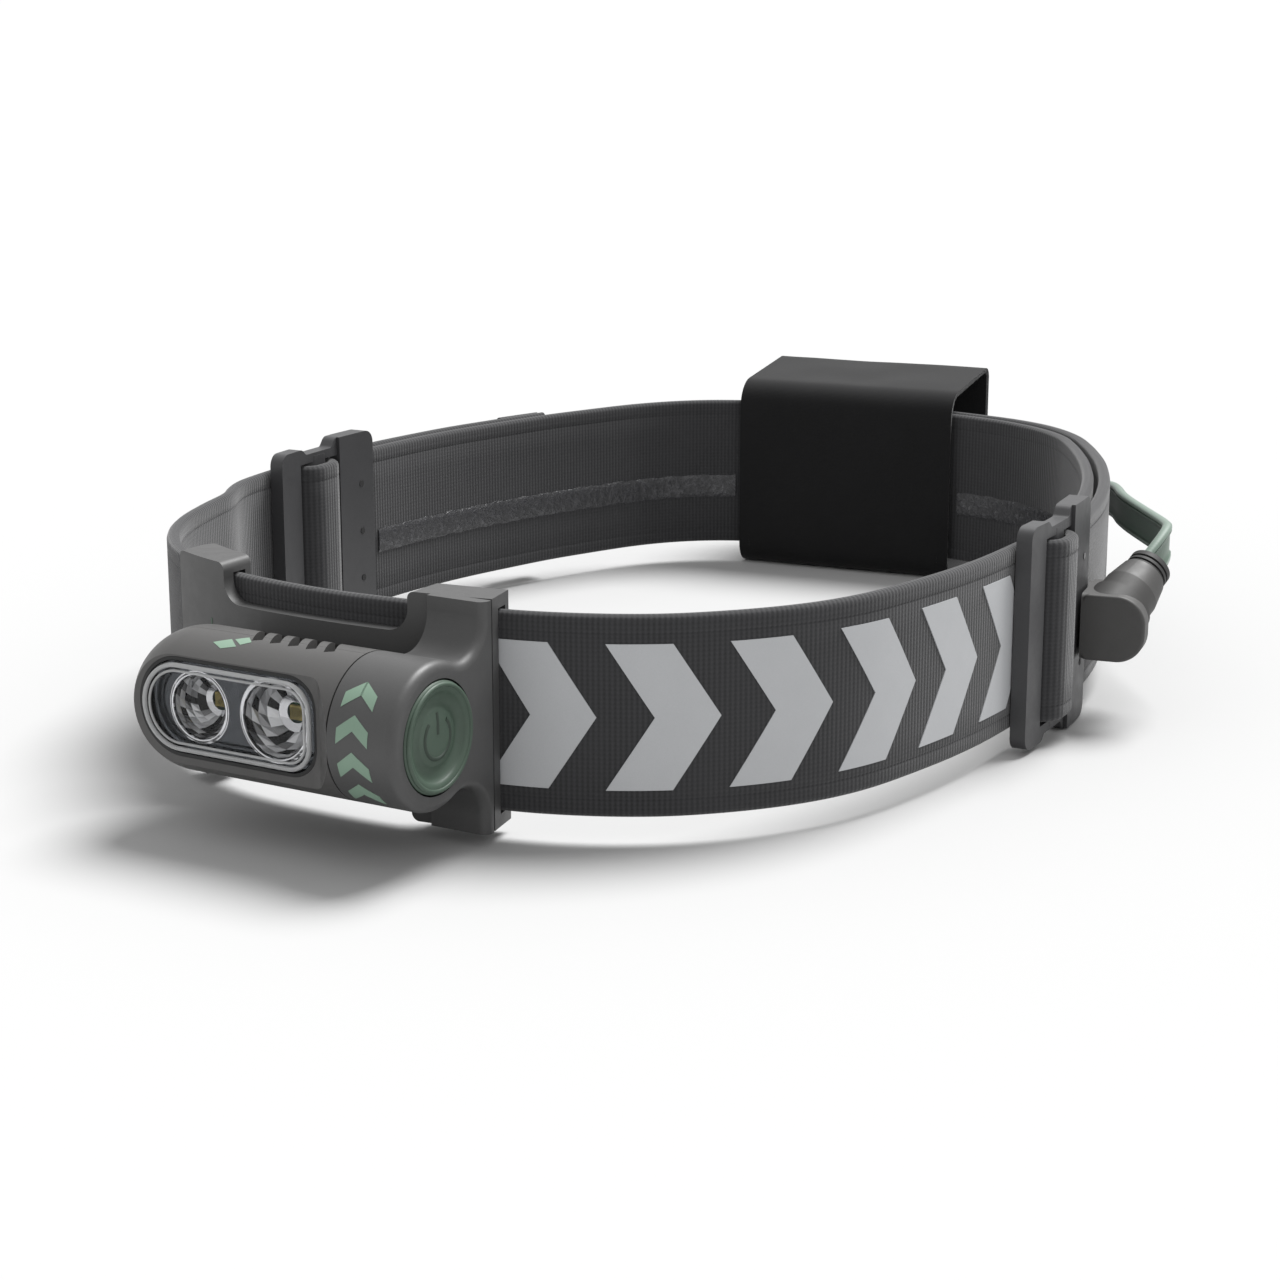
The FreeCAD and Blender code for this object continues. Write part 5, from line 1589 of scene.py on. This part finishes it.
def stadium(x0: float, x1: float, z0: float, z1: float,
            corner: float) -> list[tuple[float, float]]:
    """An outline with a half-round left end and rounded right corners.

    Args:
        x0: its left end.
        x1: its right end.
        z0: its lower side.
        z1: its upper side.
        corner: the radius of the right corners.

    Returns:
        The outline as (x, z) points.
    """
    round_end = (z1 - z0) / 2
    middle = (z0 + z1) / 2
    path = [(x0 + round_end + round_end * math.cos(t), middle + round_end * math.sin(t))
            for t in (math.pi / 2 + math.pi * i / 28 for i in range(29))]
    for start, z in ((-math.pi / 2, z0 + corner), (0.0, z1 - corner)):
        path += [(x1 - corner + corner * math.cos(start + math.pi / 2 * i / 10),
                  z + corner * math.sin(start + math.pi / 2 * i / 10)) for i in range(11)]
    return refine(path, 1.2)


@dataclass
class Mount:
    """The bracket, its arm, the pivot and the button."""

    lamp: Lamp
    plate: float = 5.52
    lip: float = 8.75
    columns: tuple[float, float, float] = (11.8, 14.9, 18.0)

    def build(self) -> None:
        """Dresses the bracket's nodes and adds its marks."""
        dress_all({
            "front_bracket": BRACKET, "pivot_hub": DARK_PLASTIC, "pivot_nut": STEEL,
            "pivot_seal": SEAL_RUBBER, "hub_screws": STEEL, "switch_board": BOARD,
            "tact_switch": STEEL, "button_seal": SEAL_RUBBER, "power_button": BUTTON_RUBBER,
            "lamp_cable": CABLE,
        })
        self.symbol()
        self.arm_print()
        self.shoulder_print()

    def symbol(self) -> None:
        """Engraves the power symbol: a ring open at the top, with an upright stroke."""
        tree = solid_tree("power_button")
        middle_y, middle_z = self.lamp.axle_y, self.lamp.axle_z

        def on_face(y: float, z: float) -> Vector:
            """The point of the button's face at a place across it."""
            start = Vector((40.0, middle_y + y, middle_z + z)) * MM
            return tree.ray_cast(start, -RIGHT, 0.05)[0] / MM

        ring = [on_face(3.5 * math.sin(t), 3.5 * math.cos(t))
                for t in (math.radians(42 + 276 * i / 46) for i in range(47))]
        stroke = [on_face(0.0, 0.6 + 3.6 * i / 8) for i in range(9)]
        skin = Skin()
        for path in (ring, stroke):
            tube(skin, path, 0.42, RIGHT, sides=10)
        for point in skin.points:
            point.x -= 0.22
        engraved = add_piece("power_symbol", skin.mesh("power_symbol"), DEEP_RUBBER)
        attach(engraved, Body.BUTTON.value)
        rim = [on_face(self.lip * math.sin(t), self.lip * math.cos(t)) for t in angles(90, 90)]
        skin = Skin()
        tube(skin, rim, 0.42, RIGHT, sides=10, closed=True)
        for point in skin.points:
            point.x -= 0.1
        lip = add_piece("button_lip", skin.mesh("button_lip"), BUTTON_RUBBER)
        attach(lip, Body.BUTTON.value)

    def arm_print(self) -> None:
        """Wraps a row of generic green arrows and bars round the arm."""
        near, tip, far = self.columns
        outlines = []
        for k in range(4):
            low = -11.5 + 6.0 * k
            outlines.append([(near, low), (tip, low + 2.4), (tip, low + 5.0), (near, low + 2.6)])
            outlines.append([(tip, low + 2.4), (far, low), (far, low + 2.6), (tip, low + 5.0)])
        film = Transfer(self.lamp.round_face, 0.04, 0.6)
        film.print_all("arm_print", outlines, GREEN_PRINT, Body.HEADBAND)

    def shoulder_print(self) -> None:
        """Prints a thin upright line and a run of short dashes on the left shoulder."""

        def surface(s: float, h: float, lift: float) -> Vector:
            """A point of the plate's front."""
            return LOOP.at(s, self.plate + lift, h)

        outlines = [[(-36.2, -9.0), (-35.8, -9.0), (-35.8, 9.5), (-36.2, 9.5)]]
        for k, size in enumerate((2.6, 1.4, 2.6, 2.0, 1.2)):
            low = -6.0 + 3.0 * k
            left, right = -39.6, -39.6 + size
            outlines.append([(left, low), (right, low), (right, low + 0.9), (left, low + 0.9)])
        film = Transfer(surface, 0.03, 0.6)
        film.print_all("shoulder_print", outlines, DIM_PRINT, Body.HEADBAND)


@dataclass
class Fittings:
    """Buckles, connector and battery pack."""

    def build(self) -> None:
        """Dresses the nodes."""
        dress_all({
            "buckle_right": BUCKLE, "buckle_left": BUCKLE, "buckle_pins_right": THREAD,
            "buckle_pins_left": THREAD, "cable_socket": CONNECTOR, "plug_body": CONNECTOR,
            "plug_contacts": BRASS, "plug_boot": BOOT_RUBBER, "battery_tray": DARK_PLASTIC,
            "battery_lid": DARK_PLASTIC, "battery_screws": STEEL, "battery_cell": CELL,
            "protection_board": BOARD, "charge_port": STEEL, "battery_gland": SEAL_RUBBER,
        })


# ------------------------------------------------------------------ light, floor and camera


@dataclass
class Studio:
    """A pale floor, soft light and the camera."""

    eye: tuple[float, float, float] = (264.45, -468.6, 144.8)
    pitch: float = 75.46
    heading: float = 30.79
    lens: float = 76.0
    shift: float = 0.0117
    sun: float = 5.2
    sun_from: tuple[float, float, float] = (0.15, 0.55, 1.0)
    sun_angle: float = 32.0
    sky: float = 0.75
    floor_grey: float = 0.46
    floor_half: float = 20.0

    def build(self) -> None:
        """Makes the floor, the lamps and the camera."""
        self.floor()
        self.lights()
        camera = bpy.data.cameras.new("view")
        camera.lens = self.lens
        camera.sensor_width = 36.0
        camera.shift_y = self.shift
        camera.clip_start = 0.01
        camera.clip_end = 100.0
        eye = bpy.data.objects.new("view", camera)
        eye.location = Vector(self.eye) * MM
        eye.rotation_euler = (math.radians(self.pitch), 0.0, math.radians(self.heading))
        bpy.context.scene.collection.objects.link(eye)
        bpy.context.scene.camera = eye
        bpy.context.scene.view_settings.view_transform = "Standard"

    def floor(self) -> None:
        """A plain pale floor."""
        data = bpy.data.meshes.new("floor")
        corners = [(x * self.floor_half, y * self.floor_half, 0)
                   for x, y in ((-1, -1), (1, -1), (1, 1), (-1, 1))]
        data.from_pydata(corners, [], [(0, 1, 2, 3)])
        graph = Graph("pale floor")
        grey = self.floor_grey
        graph.settle(Base_Color=(grey, grey, grey, 1.0), Roughness=0.9, Specular_IOR_Level=0.0)
        data.materials.append(graph.material)
        ground = bpy.data.objects.new("floor", data)
        bpy.context.scene.collection.objects.link(ground)

    def lights(self) -> None:
        """Soft light all round and a wide soft sun from above and behind."""
        world = bpy.data.worlds.new("soft light")
        world.use_nodes = True
        back = world.node_tree.nodes["Background"]
        back.inputs[0].default_value = (1.0, 1.0, 1.0, 1.0)
        back.inputs[1].default_value = self.sky
        bpy.context.scene.world = world
        sun = bpy.data.lights.new("soft_sun", "SUN")
        sun.energy = self.sun
        sun.angle = math.radians(self.sun_angle)
        above = bpy.data.objects.new("soft_sun", sun)
        above.rotation_euler = Vector(self.sun_from).to_track_quat("Z", "Y").to_euler()
        bpy.context.scene.collection.objects.link(above)


def main() -> None:
    """Builds the headlamp, one sub-assembly after the other."""
    logging.basicConfig(level=logging.INFO, format="%(name)s: %(message)s")
    Studio().build()
    sleeve = Sleeve()
    Lead().build(sleeve)
    Straps().build()
    sleeve.build()
    lamp = Lamp()
    Mount(lamp).build()
    lamp.build()
    Fittings().build()


if __name__ == "__main__":
    main()
